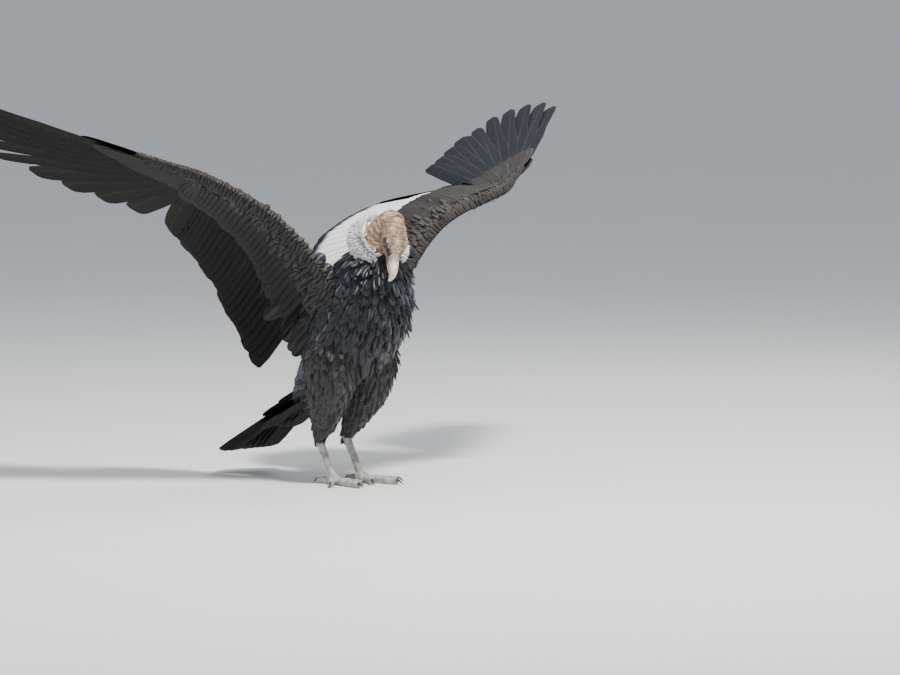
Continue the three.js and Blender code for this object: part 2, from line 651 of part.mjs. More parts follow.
// Assembly: each piece is cut clear of those that were laid before it.
const headGroup = new THREE.Group();
const left = HEAD.crown.clone().cross(HEAD.facing).normalize();
const crown = HEAD.facing.clone().normalize().cross(left).normalize();
headGroup.applyMatrix4(
  new THREE.Matrix4().makeBasis(HEAD.facing.clone().normalize(), left, crown).setPosition(HEAD.place));
headGroup.updateMatrix();
bird.add(headGroup);
const headFinish = {
  head: FINISH.skin, bill_upper: FINISH.bill, bill_lower: FINISH.bill, eye_left: FINISH.eye, eye_right: FINISH.eye,
};
for (const [name, solid] of Object.entries(headParts())) add(name, solid, headFinish[name], headGroup);

const inBird = (solid, matrix) => solid.transform(matrix.elements);
const headRoom = inBird(skullSolid(GAP), headGroup.matrix);
const torsoRoom = torsoSolid(GAP);
const neckRoom = neckSolid(GAP);
add("torso", torsoSolid(0), FINISH.black);
add("neck", neckSolid(0).subtract(join([torsoRoom, headRoom])), FINISH.skin);
add("ruff", ruffSolid().subtract(join([torsoRoom, neckRoom, headRoom])), FINISH.white);

const thighRooms = [];
for (const [name, leg] of Object.entries(LEGS)) {
  add(`thigh_${name}`, thighSolid(leg).subtract(torsoRoom), FINISH.black);
  thighRooms.push(thighSolid(leg, GAP));
  const foot = new THREE.Group();
  foot.position.copy(leg.sole);
  foot.scale.x = leg.side;
  foot.updateMatrix();
  bird.add(foot);
  const claws = TOES.map((toe) => clawSolid(toe, GAP));
  add(`foot_${name}`, footSolid().subtract(join(claws)), FINISH.shank, foot);
  TOES.forEach((toe) => add(`claw_${name}_${toe.name}`, clawSolid(toe), FINISH.claw, foot));
  const footRoom = inBird(footSolid(GAP), foot.matrix);
  add(`shank_${name}`, shankSolid(leg).subtract(join([thighRooms.at(-1), footRoom])), FINISH.shank);
}

const bodyRoom = join([torsoRoom, ...thighRooms]);
add("tail", tailSolid().subtract(bodyRoom), FINISH.black);
const tailRoom = flesh([[0, 150, 250, 50, 36, 36], [0, 262, 186, 44, 20, 20]], { steps: 2, sides: 16 });
for (const [name, wing] of Object.entries(WINGS)) {
  add(`wing_${name}_arm`, armSolid(wing).subtract(join([bodyRoom, tailRoom, neckRoom])), FINISH.black);
  add(`wing_${name}_hand`, handSolid(wing).subtract(armSolid(wing, GAP)), FINISH.black);
}

// The origin is the middle of the model's box, on the floor.
const reach = new THREE.Box3().setFromObject(bird, true);
bird.position.set(-(reach.min.x + reach.max.x) / 2, -(reach.min.y + reach.max.y) / 2, 0);

export default bird;
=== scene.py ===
import math
import bpy
import numpy as np
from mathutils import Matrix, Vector, noise


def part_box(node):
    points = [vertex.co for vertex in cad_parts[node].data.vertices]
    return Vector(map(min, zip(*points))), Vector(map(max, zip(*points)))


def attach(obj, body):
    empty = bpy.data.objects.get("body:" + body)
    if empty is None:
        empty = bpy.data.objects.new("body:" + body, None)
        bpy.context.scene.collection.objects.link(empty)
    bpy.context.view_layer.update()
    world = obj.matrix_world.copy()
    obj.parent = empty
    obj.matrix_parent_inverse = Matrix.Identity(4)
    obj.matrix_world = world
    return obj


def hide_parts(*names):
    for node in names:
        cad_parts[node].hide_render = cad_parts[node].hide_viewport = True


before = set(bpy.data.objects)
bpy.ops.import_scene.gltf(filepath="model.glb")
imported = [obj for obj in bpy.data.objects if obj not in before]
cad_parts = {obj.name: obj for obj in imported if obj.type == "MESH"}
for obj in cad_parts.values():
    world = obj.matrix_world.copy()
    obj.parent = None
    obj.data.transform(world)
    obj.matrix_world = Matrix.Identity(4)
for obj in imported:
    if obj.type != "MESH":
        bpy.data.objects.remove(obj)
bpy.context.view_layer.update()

rng = np.random.default_rng(11)


# The trunk under its feathers: breast, back and rump as one smooth swelling round the spine.
# Its rows run from the base of the neck to the rump: x, y, z, half width, reach up, reach down, in mm
# from a zero on the floor between the feet. The row frame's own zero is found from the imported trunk.
TRUNK = [
    (0, -122, 622, 52, 50, 50), (0, -108, 588, 88, 76, 78), (0, -84, 532, 116, 100, 112),
    (0, -54, 468, 126, 108, 128), (0, -20, 408, 124, 106, 122), (0, 22, 350, 116, 98, 108),
    (0, 72, 302, 100, 82, 86), (0, 126, 264, 76, 60, 62), (0, 178, 232, 50, 36, 38),
]
COAT_DEPTH = 9  # the skin lies this far inside the outline of the feathers


def unit(v):
    return v / np.maximum(np.linalg.norm(v, axis=-1, keepdims=True), 1e-9)


def dot(a, b):
    return np.sum(a * b, axis=-1, keepdims=True)


def between(rows, t):
    """The rows read smoothly: t runs from 0 at the first to 1 at the last."""
    rows = np.asarray(rows, float)
    at = np.clip(np.atleast_1d(t).astype(float), 0, 1) * (len(rows) - 1)
    i = np.minimum(at.astype(int), len(rows) - 2)
    f = (at - i)[:, None]
    p0, p1, p2, p3 = (rows[np.clip(i + k, 0, len(rows) - 1)] for k in (-1, 0, 1, 2))
    m1, m2 = (p2 - p0) / 2, (p3 - p1) / 2
    return ((2 * f**3 - 3 * f**2 + 1) * p1 + (f**3 - 2 * f**2 + f) * m1
            + (-2 * f**3 + 3 * f**2) * p2 + (f**3 - f**2) * m2)


def flesh_at(rows, t, turn, grow=0.0, across=(1.0, 0.0, 0.0)):
    """Points on a swelling round the line of the rows; turn goes round it from across."""
    t = np.atleast_1d(t).astype(float)
    row = between(rows, t)
    ahead, behind = (between(rows, t + step)[:, :3] for step in (0.01, -0.01))
    along = unit(ahead - behind)
    across = np.broadcast_to(np.asarray(across, float), along.shape)
    side = unit(across - along * dot(across, along))
    top = unit(np.cross(side, along))
    c, s = np.cos(turn)[:, None], np.sin(turn)[:, None]
    reach = np.where(s > 0, row[:, 4:5], row[:, 5:6]) + grow
    return row[:, :3] + side * c * (row[:, 3:4] + grow) + top * s * reach


def tube(rings, sides):
    """Faces of a closed form whose points run round it, ring after ring."""
    quads = [[k + i, k + sides + i, k + sides + (i + 1) % sides, k + (i + 1) % sides]
             for k in range(0, (rings - 1) * sides, sides) for i in range(sides)]
    return [*quads, list(range(sides)), [(rings - 1) * sides + i for i in reversed(range(sides))]]


def swelling(rows, steps, sides, grow=0.0, across=(1.0, 0.0, 0.0), fold=None):
    """The closed form over such a line, as points and faces. fold adds to its reach by place."""
    t, turn = (a.ravel() for a in np.meshgrid(
        np.linspace(0, 1, steps + 1), 2 * np.pi * (np.arange(sides) + 0.5) / sides, indexing="ij"))
    more = grow + (fold(t, turn)[:, None] if fold else 0.0)
    return flesh_at(rows, t, turn, more, across), tube(steps + 1, sides)


def joined(forms):
    points, faces, count = [], [], 0
    for p, f in forms:
        points.append(p)
        faces += [[i + count for i in face] for face in f]
        count += len(p)
    return np.concatenate(points), faces


low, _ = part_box("torso")
widest = swelling(TRUNK, 11, 18)[0]
ZERO = np.array([np.mean([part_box("torso")[k][0] for k in (0, 1)]), low[1] - widest[:, 1].min() / 1000, 0.0])


def piece(name, points, faces, finish, replaced=(), slot="black_feathers"):
    """A mesh in the row frame from points in mm, riding on the bird's one body."""
    mesh = bpy.data.meshes.new(name)
    mesh.from_pydata((np.asarray(points) / 1000 + ZERO).tolist(), [], faces)
    mesh.validate()
    return placed(name, mesh, finish, replaced)


def placed(name, mesh, finish, replaced=()):
    mesh.shade_smooth()
    mesh.materials.append(finish)
    thing = bpy.data.objects.new(name, mesh)
    bpy.context.scene.collection.objects.link(thing)
    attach(thing, "root")
    if replaced:
        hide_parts(*replaced)
    return thing


def one_skin(name, forms, voxel, rounds):
    """Several closed forms grown into one mesh with an even grain, and smoothed."""
    points, faces = joined(forms)
    mesh = bpy.data.meshes.new(name + "_forms")
    mesh.from_pydata((points / 1000 + ZERO).tolist(), [], faces)
    thing = bpy.data.objects.new(name + "_forms", mesh)
    bpy.context.scene.collection.objects.link(thing)
    grain = thing.modifiers.new("grain", "REMESH")
    grain.mode, grain.voxel_size = "VOXEL", voxel / 1000
    even = thing.modifiers.new("even", "SMOOTH")
    even.factor, even.iterations = 0.6, rounds
    done = bpy.data.meshes.new_from_object(thing.evaluated_get(bpy.context.evaluated_depsgraph_get()))
    bpy.data.objects.remove(thing)
    done.name = name
    return done


def paint(mesh, name, values):
    """A number for each point, which a finish can read."""
    mesh.attributes.new(name, "FLOAT", "POINT").data.foreach_set("value", np.asarray(values, np.float32))


def points_of(mesh):
    at = np.empty(len(mesh.vertices) * 3, np.float32)
    mesh.vertices.foreach_get("co", at)
    return (at.reshape(-1, 3) - ZERO) * 1000


def move_points(mesh, points):
    mesh.vertices.foreach_set("co", (points / 1000 + ZERO).astype(np.float32).ravel())
    mesh.update()


class Wire:
    """A shader socket that takes part in sums."""

    def __init__(self, finish, socket):
        self.finish, self.socket = finish, socket

    def sum(self, operation, *values):
        return self.finish.node("ShaderNodeMath", "Value", {"operation": operation},
                                **{f"_{k}": v for k, v in enumerate(values)})

    def __add__(self, other):
        return self.sum("ADD", self, other)

    def __sub__(self, other):
        return self.sum("SUBTRACT", self, other)

    def __mul__(self, other):
        return self.sum("MULTIPLY", self, other)

    def __rsub__(self, other):
        return self.sum("SUBTRACT", other, self)

    __radd__, __rmul__ = __add__, __mul__


class Finish:
    """A material being made: a Principled shader, and one method for every node that feeds it."""

    def __init__(self, name, **settings):
        self.material = bpy.data.materials.new(name)
        self.material.use_nodes = True
        self.tree = self.material.node_tree
        self.shader = self.tree.nodes["Principled BSDF"]
        for socket, value in settings.items():
            self.shader.inputs[socket.replace("_", " ")].default_value = value

    def node(self, kind, out, settings=None, **sockets):
        made = self.tree.nodes.new(kind)
        for key, value in (settings or {}).items():
            setattr(made, key, value)
        for key, value in sockets.items():
            socket = made.inputs[int(key[1:])] if key.startswith("_") else made.inputs[key.replace("_", " ")]
            self.link(value, socket)
        return Wire(self, made.outputs[out])

    def link(self, value, socket):
        if isinstance(value, Wire):
            self.tree.links.new(value.socket, socket)
        elif isinstance(value, tuple) and len(value) == 3 and socket.type == "RGBA":
            socket.default_value = (*value, 1)
        else:
            socket.default_value = value

    def mix(self, share, first, second):
        return self.node("ShaderNodeMix", 2, {"data_type": "RGBA"}, _0=share, _6=first, _7=second)

    def step(self, value, low, high, start=0.0, end=1.0):
        return self.node("ShaderNodeMapRange", "Result", {"interpolation_type": "SMOOTHSTEP"},
                         Value=value, From_Min=low, From_Max=high, To_Min=start, To_Max=end)

    def painted(self, name):
        return self.node("ShaderNodeAttribute", "Fac", {"attribute_name": name})

    def uv(self, layer):
        return self.node("ShaderNodeUVMap", "UV", {"uv_map": layer})

    def split(self, vector):
        return [self.node("ShaderNodeSeparateXYZ", out, None, Vector=vector) for out in ("X", "Y")]

    def stretched(self, vector, stretch):
        place = vector or self.node("ShaderNodeTexCoord", "Object")
        if not stretch:
            return place
        return self.node("ShaderNodeMapping", "Vector", None, Vector=place, Scale=stretch)

    def grain(self, scale, detail=4.0, vector=None, stretch=None):
        return self.node("ShaderNodeTexNoise", "Fac", None, Vector=self.stretched(vector, stretch),
                         Scale=scale, Detail=detail)

    def cells(self, scale, feature, stretch=None):
        return self.node("ShaderNodeTexVoronoi", "Distance", {"feature": feature},
                         Vector=self.stretched(None, stretch), Scale=scale)

    def bump(self, height, strength, distance):
        return self.node("ShaderNodeBump", "Normal", None,
                         Height=height, Strength=strength, Distance=distance)

    def done(self, **sockets):
        for key, value in sockets.items():
            self.link(value, self.shader.inputs[key.replace("_", " ")])
        return self.material


def down_finish(name, dark, pale):
    """Matt down that shows between feathers."""
    finish = Finish(name, Roughness=0.85)
    tufts = finish.grain(160.0, 6.0)
    return finish.done(Base_Color=finish.mix(tufts, dark, pale), Normal=finish.bump(tufts, 0.6, 0.004))


# The wings' lines. Each has a leading edge from the shoulder by the elbow's fold and the wrist to
# the end of the hand, a fleshy section that arches up along the arm, and a surface that its flight
# feathers and coverts lie on: on the arm it bends from the section's chord in and down. fan is the
# innermost primary's turn from the hand, in degrees, and curl is how the outermost one bends.
HAND_LENGTH = 165
WING_CORE = [(150, 78), (150, 54), (142, 38), (120, 31), (84, 27), (66, 22), (50, 17), (36, 13), (22, 9)]
WINGS = {
    "right": {
        "side": -1, "shoulder": (-96, -92, 492), "mid": (-272, -44, 698), "wrist": (-466, 39, 823),
        "hand": (-0.71, 0.63, 0.31), "root_chord": (0.04, 0.93, -0.36), "wrist_chord": (0.22, 0.949, -0.24),
        "arch": 0.2, "root_lie": (0.05, 0.75, -0.66), "wrist_lie": (0.4, 0.83, -0.38), "fan": 78,
        "curl": 1e-4,
    },
    "left": {
        "side": 1, "shoulder": (98, -84, 512), "mid": (301, -36, 670), "wrist": (538, -14, 756),
        "hand": (0.77, 0.513, 0.31), "root_chord": (-0.02, 0.96, -0.2), "wrist_chord": (0.17, 0.97, 0.13),
        "arch": 0.3, "root_lie": (-0.08, 0.95, -0.3), "wrist_lie": (-0.22, 0.965, -0.1), "fan": 47,
        "curl": -4e-5,
    },
}
UPPER_FACE = [(0, 0), (0.06, 0.32), (0.22, 0.52), (0.55, 0.44), (1, 0.08)]
LOWER_FACE = [(0, 0), (0.16, -0.36), (0.5, -0.22), (1, -0.04)]
REFERENCE = 0.72  # share of the chord where the flight feathers leave the flesh
BEND = 90  # length over which the arm's feathers turn from the chord to their own way
CLOSING = 0.75  # under 1, the outer primaries lie closer together than the inner ones
LAST_TURN = 3  # the outermost primary's turn from the hand, in degrees
ROOT_CURL = -1e-4  # how the innermost feathers bend, per mm


def leading_edge(wing, share):
    """A centripetal curve through the wing's five points."""
    shoulder, mid, wrist = (np.array(wing[k], float) for k in ("shoulder", "mid", "wrist"))
    hand = unit(np.array(wing["hand"]))
    line = [shoulder, mid, wrist, wrist + hand * HAND_LENGTH / 2, wrist + hand * HAND_LENGTH]
    line = np.array([2 * line[0] - line[1], *line, 2 * line[4] - line[3]])
    at = np.clip(share, 0, 1) * 4
    i = np.minimum(at.astype(int), 3)
    f = (at - i)[:, None]
    p0, p1, p2, p3 = (line[i + k] for k in range(4))
    steps = ((p0, p1), (p1, p2), (p2, p3))
    d0, d1, d2 = (np.linalg.norm(b - a, axis=1, keepdims=True) ** 0.5 for a, b in steps)
    t1 = ((p1 - p0) / d0 - (p2 - p0) / (d0 + d1) + (p2 - p1) / d1) * d1
    t2 = ((p2 - p1) / d1 - (p3 - p1) / (d1 + d2) + (p3 - p2) / d2) * d1
    return p1 + t1 * f + (3 * (p2 - p1) - 2 * t1 - t2) * f**2 + (2 * (p1 - p2) + t1 + t2) * f**3


def station(wing, q):
    """The wing at q: 0 at the shoulder, 1 at the wrist, 2 at the hand's end."""
    q = np.atleast_1d(q).astype(float)
    u = np.clip(q / 2, 0, 1)
    span = unit(leading_edge(wing, np.minimum(u + 1e-4, 1)) - leading_edge(wing, np.maximum(u - 1e-4, 0)))
    arm = np.linalg.norm(np.subtract(wing["wrist"], wing["shoulder"]))
    edge = leading_edge(wing, u) + span * (np.minimum(q, 0) * arm)[:, None]
    share = np.clip(q, 0, 1)[:, None]
    chord = (1 - share) * np.array(wing["root_chord"]) + share * np.array(wing["wrist_chord"])
    chord[:, 2] += wing["arch"] * np.sin(np.pi * share[:, 0])
    chord = unit(chord - span * dot(chord, span))
    normal = unit(np.cross(span, chord)) * wing["side"]
    depth, thick = between(WING_CORE, q / 2).T
    return {"edge": edge, "span": span, "chord": chord, "normal": normal,
            "depth": depth[:, None], "thick": thick[:, None]}


def on_wing(at, back, up):
    back, up = (np.broadcast_to(np.asarray(v, float), at["depth"].shape[:1])[:, None] for v in (back, up))
    return at["edge"] + at["chord"] * at["depth"] * back + at["normal"] * at["thick"] * up


def lie(wing, q):
    """How feathers lie at q: their first way, their own way, and what gives the surface they follow."""
    q = np.atleast_1d(q).astype(float)
    at = station(wing, q)
    hand = unit(np.array(wing["hand"]))
    wrist_chord = np.array(wing["wrist_chord"])
    back = unit(wrist_chord - hand * dot(wrist_chord, hand))
    flat = np.cross(hand, back) * wing["side"]
    turn = np.radians(wing["fan"] + (LAST_TURN - wing["fan"]) * np.clip(q - 1, 0, 1) ** CLOSING)[:, None]
    fan = hand * np.cos(turn) + back * np.sin(turn)
    share = np.clip(q, 0, 1)[:, None]
    arm = (q < 1)[:, None]
    own = unit((1 - share) * np.array(wing["root_lie"]) + share * np.array(wing["wrist_lie"]))
    along = np.where(arm, own, fan)
    normal = np.where(arm, unit(np.cross(at["span"], along)) * wing["side"], flat)
    camber = ROOT_CURL + (wing["curl"] - ROOT_CURL) * q / 2
    at.update(first=np.where(arm, at["chord"], fan), along=along, normal=normal, flat=flat, arm=arm,
              side=wing["side"], start=on_wing(at, REFERENCE, 0.05), camber=camber[:, None])
    return at


def on_surface(at, reach, height):
    """Points of the feathers' surface: reach (feathers, rings) from where it leaves the flesh."""
    reach, height = reach[:, :, None], height[:, :, None]
    bent = np.where(reach < BEND, np.maximum(reach, 0) ** 2 / (2 * BEND), reach - BEND / 2)
    share = np.clip(reach / BEND, 0, 1)
    first, along = at["first"][:, None], at["along"][:, None]
    up = unit(np.cross(at["span"][:, None], first * (1 - share) + along * share)) * at["side"]
    up = np.where(at["arm"][:, None], up, at["flat"])
    rise = height + at["camber"][:, None] * reach * np.abs(reach)
    return at["start"][:, None] + first * (reach - bent) + along * bent + up * rise


def wing_core(wing, grow):
    ring = [*UPPER_FACE, *reversed(LOWER_FACE[1:])]
    q = np.linspace(-0.1, 2, 43)
    at = station(wing, q)
    middle = on_wing(at, 0.4, 0.08)
    rows = []
    for back, up in ring:
        spot = on_wing(at, back, up)
        rows.append(spot + unit(spot - middle) * grow)
    points = np.stack(rows, 1)
    n = len(ring)
    if wing["side"] < 0:
        points = points[:, ::-1]
    faces = [[k * n + i, k * n + (i + 1) % n, (k + 1) * n + (i + 1) % n, (k + 1) * n + i]
             for k in range(len(q) - 1) for i in range(n)]
    faces += [list(reversed(range(n))), [(len(q) - 1) * n + i for i in range(n)]]
    return points.reshape(-1, 3), faces


# The legs' lines: a feathered thigh, a bare shank and a foot with four toes, each foot facing ahead.
LEGS = {
    "right": {"side": -1, "hip": (-68, -8, 338), "ankle": (-57, 58, 112), "sole": (-54, 2, 0)},
    "left": {"side": 1, "hip": (66, -8, 338), "ankle": (47, 74, 116), "sole": (50, 14, 0)},
}


THIGH_DEPTH = 4  # the skin lies this far inside the outline of the thigh's feathers


def thigh_rows(leg):
    hip, ankle = np.array(leg["hip"], float), np.array(leg["ankle"], float)
    table = [(-0.3, -6, 30, 38, 40), (-0.16, -3, 50, 62, 66), (0, 0, 60, 74, 78), (0.3, 14, 58, 68, 74),
             (0.55, 14, 47, 53, 56), (0.78, 7, 32, 34, 37), (0.93, 2, 19, 20, 22), (1.02, 0, 12, 12, 13)]
    rows = []
    for f, bow, wide, front, rear in table:
        x, y, z = hip + (ankle - hip) * f
        rows.append((x + leg["side"] * bow * 0.2, y - bow, z, wide, front, rear))
    return rows


# The feathered skin: one skin over trunk, thighs, wings and tail root, dark with short down.
# The feathers below are rooted in it.
TAIL_ROOT = [(0, 150, 250, 42, 30, 30), (0, 190, 226, 40, 24, 25), (0, 228, 205, 32, 15, 16),
             (0, 262, 186, 20, 6, 6)]
SKIN_GRAIN = 4.5  # size of the skin's facets in mm

skin_forms = [
    swelling(TRUNK, 40, 48, -COAT_DEPTH),
    swelling(TAIL_ROOT, 16, 24, -2),
    *(swelling(thigh_rows(leg), 24, 28, -THIGH_DEPTH) for leg in LEGS.values()),
    *(wing_core(wing, -1.5) for wing in WINGS.values()),
]
placed("feathered_skin", one_skin("feathered_skin", skin_forms, SKIN_GRAIN, 3),
       down_finish("dark_down", (0.012, 0.012, 0.013), (0.045, 0.043, 0.042)),
       ("torso", "thigh_left", "thigh_right", "wing_left_arm", "wing_left_hand", "wing_right_arm",
        "wing_right_hand"))


# Feathers. Each is a thin closed vane on a shaft, woven ring by ring along its length, with a raised
# shaft, edges that droop and, on the large ones, splits where the barbs have come apart.
PATCH = 0.003  # side of a small feather's patch on the baked picture
SHAFT_WIDTH = 2.2


def vane_faces(rings, columns):
    """One vane's faces with four and three corners, and which of the fours are on its upper side."""
    m = 2 * columns - 2
    ring, i, c = np.arange(rings - 1)[:, None] * m, np.arange(m), np.arange(columns - 1)
    j = (i + 1) % m
    sides = np.stack([ring + i, ring + j, ring + j + m, ring + i + m], 2).reshape(-1, 4)
    cap = np.stack([c, c + 1, m - c - 1, (m - c) % m], 1)
    faces = np.concatenate([sides, cap[:, ::-1], cap + (rings - 1) * m]).tolist()
    fours = np.array([face for face in faces if len(set(face)) == 4])
    threes = np.array([list(dict.fromkeys(face)) for face in faces if len(set(face)) == 3])
    upper = np.ones(len(fours))
    upper[:len(sides)] = np.tile(i < columns - 1, rings - 1)
    return fours, threes, upper


def woven(name, spine, lead, up, outer, inner, finish, columns=3, thick=0.5, rib=0.0, cup=0.12,
          white=0.0, place=None, replaced=(), slot="black_feathers", shares=None):
    """spine, lead and up are (feathers, rings, 3); outer and inner are half widths (feathers, rings)."""
    count, rings = outer.shape
    along = unit(np.gradient(spine, axis=1))
    hand = np.sign(np.sum(np.cross(lead[:, 0], along[:, 0]) * up[:, 0], 1))
    hand[hand == 0] = 1
    lead = lead * hand[:, None, None]
    plus = np.where(hand[:, None] > 0, outer, inner)
    minus = np.where(hand[:, None] > 0, inner, outer)
    across = np.sin(np.linspace(-1, 1, columns) * np.pi / 2)[None, None]
    s = np.linspace(0, 1, rings) if shares is None else shares
    half = np.where(across > 0, plus[:, :, None], minus[:, :, None])
    x = across * half
    droop = -cup * across**2 * half
    shaft = rib * np.exp(-((x / SHAFT_WIDTH) ** 2)) * (1 - 0.85 * s)[None, :, None]
    body = thick / 2 * (1 - across**4)
    middle = spine[:, :, None] + lead[:, :, None] * x[..., None]
    top, under = (middle + up[:, :, None] * rise[..., None]
                  for rise in (droop + body + shaft, droop - body - shaft * 0.7))
    points = np.concatenate([top, under[:, :, -2:0:-1]], 2).reshape(-1, 3)

    fours, threes, upper = vane_faces(rings, columns)
    m = 2 * columns - 2
    corner = np.concatenate([np.tile(face.ravel(), count) for face in (fours, threes)])
    which = np.concatenate([np.repeat(np.arange(count), face.size) for face in (fours, threes)])
    upper = np.concatenate([np.tile(np.repeat(upper, 4), count), np.ones(count * threes.size)])
    sizes = np.repeat([4, 3], [count * len(fours), count * len(threes)])
    mesh = bpy.data.meshes.new(name)
    mesh.vertices.add(len(points))
    mesh.vertices.foreach_set("co", (points / 1000 + ZERO).astype(np.float32).ravel())
    mesh.loops.add(len(corner))
    mesh.loops.foreach_set("vertex_index", (corner + which * rings * m).astype(np.int32))
    mesh.polygons.add(len(sizes))
    mesh.polygons.foreach_set("loop_start", (np.cumsum(sizes) - sizes).astype(np.int32))
    mesh.polygons.foreach_set("loop_total", sizes.astype(np.int32))
    mesh.update(calc_edges=True)

    tone = rng.random(count)[which]
    w = np.linspace(0, 1, columns)
    w, run = np.concatenate([w, w[-2:0:-1]])[corner % m], s[corner // m]
    web = np.where(hand[which] > 0, w, 1 - w)
    if place is None:
        bake = 0.01 + 0.98 * (which + 0.04 + 0.44 * w + 0.5 * (1 - upper)) / count, 0.01 + 0.98 * run
    else:
        local = (0.46 * w + 0.54 * (1 - upper), run)
        bake = (0.005 + 0.985 * place[which, k] + PATCH * local[k] for k in (0, 1))
    lot = (np.zeros(count) + white)[which]
    for layer, u, v in (("Vane", web, run), ("Lot", lot, upper), ("Tone", tone, tone), ("OFBake", *bake)):
        mesh.uv_layers.new(name=layer).data.foreach_set("uv", np.stack([u, v], 1).astype(np.float32).ravel())
    return placed(name, mesh, finish, replaced)


WHITE_WEB = (0.88, 0.88, 0.88)
BLUE_SHEEN = (0.55, 0.62, 0.8, 1)


def plume_finish(name, ground, edge, under=(0.011, 0.0105, 0.010), gloss=0.45, sheen=0.0, barbs=110.0,
                 shaft_colour=(0.055, 0.048, 0.042), glint=0.3, coat=0.08, dark_from=1.1):
    """Vanes with barbs that run out from the shaft, a paler worn edge and, where told, white webs above."""
    finish = Finish(name, Sheen_Weight=sheen, Sheen_Roughness=0.35, Coat_Roughness=0.35,
                    Specular_IOR_Level=glint, Sheen_Tint=BLUE_SHEEN)
    vane = finish.uv("Vane")
    across, along = finish.split(vane)
    pale, top = finish.split(finish.uv("Lot"))
    lot_tone = finish.split(finish.uv("Tone"))[0]
    from_shaft = finish.node("ShaderNodeMath", "Value", {"operation": "ABSOLUTE"}, _0=across - 0.5)
    slant = (along * 2.2 - from_shaft) * barbs
    rows = finish.node("ShaderNodeMath", "Value", {"operation": "SINE"}, _0=slant)
    streak = finish.grain(6.0, 5.0, vane, (2.0, 22.0, 1.0))
    mottle = finish.grain(38.0, 3.0)
    shaft = finish.step(from_shaft, 0.008, 0.022, 1.0, 0.0)
    rim = finish.step(from_shaft, 0.36, 0.5) * finish.step(along, 0.35, 0.9)
    varied = finish.step(streak, 0.3, 0.75) * 0.35 + lot_tone * 0.35 + finish.step(mottle, 0.35, 0.65) * 0.3
    colour = finish.mix(varied, ground, tuple(c * 2.7 for c in ground))
    colour = finish.mix(rim * 0.6 * top, colour, edge)
    web = finish.step(across, 0.30, 0.36) * finish.step(along, 0.1, 0.2)
    web = web * finish.step(along, dark_from, dark_from + 0.09, 1.0, 0.0)
    web = web * finish.step(across, 0.88, 0.95, 1.0, 0.0)
    colour = finish.mix(web * pale * top, colour, WHITE_WEB)
    colour = finish.mix(shaft * 0.5, colour, shaft_colour)
    dull = finish.mix(finish.step(streak, 0.35, 0.7), under, tuple(c * 0.45 for c in under))
    dull = finish.mix(shaft * 0.35, dull, shaft_colour)
    colour = finish.mix(top, dull, colour)
    rough = finish.step(streak, 0.2, 0.8, gloss - 0.08, gloss + 0.14) + (1 - top) * 0.12
    return finish.done(Base_Color=colour, Roughness=rough, Coat_Weight=top * (1 - pale) * coat,
                       Normal=finish.bump(rows * 0.16 + streak * 0.6, 0.3, 0.0006))


def outline(rings, shape):
    """Half widths along a vane from rows of (share of its length, outer, inner) in its widths."""
    shape = np.array(shape)
    s = np.linspace(0, 1, rings)
    wide = [np.interp(s, shape[:, 0], shape[:, k]) for k in (1, 2)]
    tip = np.sqrt(np.clip(1 - ((s - 0.955) / 0.0455) ** 2, 0.02, 1))
    return [np.where(s > 0.955, w * tip, w) for w in wide]


def on_line(at, beside, reach, height, tilt):
    """Spine, lead and up of feathers that follow a wing's surface, each clearing the next by tilt."""
    spine = on_surface(at, reach, height)
    along = unit(np.gradient(spine, axis=1))
    lead = on_surface(beside, reach, height) - spine
    lead = unit(lead - along * dot(lead, along))
    up = np.cross(lead, along)
    up = up * np.sign(dot(up, at["normal"][:, None]))
    c, s = np.cos(tilt), np.sin(tilt)
    return spine, lead * c + up * s, up * c - lead * s


# Flight feathers of both wings: ten primaries on the hand, their tips cut in and spread like
# fingers, and twenty-four secondaries and tertials along the arm, with white outer webs above.
PRIMARIES = [410, 450, 500, 555, 610, 660, 690, 692, 655, 575]
ARM_FLIGHT = 24
SHINGLE = math.radians(5)
PRIMARY = [(0, 0.1, 0.12), (0.22, 0.32, 0.62), (0.48, 0.34, 0.66), (0.64, 0.24, 0.44), (0.9, 0.2, 0.36),
           (1, 0.16, 0.3)]
INNER_PRIMARY = [(0, 0.12, 0.14), (0.3, 0.36, 0.62), (0.65, 0.38, 0.62), (0.9, 0.34, 0.56), (1, 0.26, 0.4)]
SECONDARY = [(0, 0.2, 0.24), (0.35, 0.42, 0.58), (0.82, 0.42, 0.56), (1, 0.34, 0.44)]
FLIGHT_RINGS = 52

flight_finish = plume_finish("flight_plumes", (0.006, 0.007, 0.010), (0.085, 0.08, 0.078), gloss=0.5,
                             glint=0.1, coat=0.0, dark_from=0.86)


def with_splits(widths, splits, depth):
    """Cuts a few narrow notches into each vane's edge."""
    out = widths.copy()
    for row in out:
        for at in rng.integers(len(row) // 3, len(row) - 4, rng.poisson(splits)):
            row[at] *= 1 - depth * rng.uniform(0.4, 1)
            row[at + 1] *= 1 - 0.12 * depth
    return out


def flight_feathers(name, wing, q, length, width, shapes, tilt, back, white):
    at, beside = lie(wing, q), lie(wing, q + 0.02)
    start = (back - REFERENCE) * at["depth"]
    reach = start + length[:, None] * np.linspace(0, 1, FLIGHT_RINGS)[None]
    wave = np.sin(reach / 90 + rng.uniform(0, 6, (len(q), 1))) * 0.8
    spine, lead, up = on_line(at, beside, reach, wave, tilt)
    halves = np.stack([outline(FLIGHT_RINGS, shape) for shape in shapes], 1)
    outer, inner = halves * np.asarray(width)[None, :, None]
    return woven(name, spine, lead, up, with_splits(outer, 0.2, 0.25), with_splits(inner, 0.3, 0.25),
                 flight_finish, columns=9, thick=0.5, rib=1.5, cup=0.06, white=white)


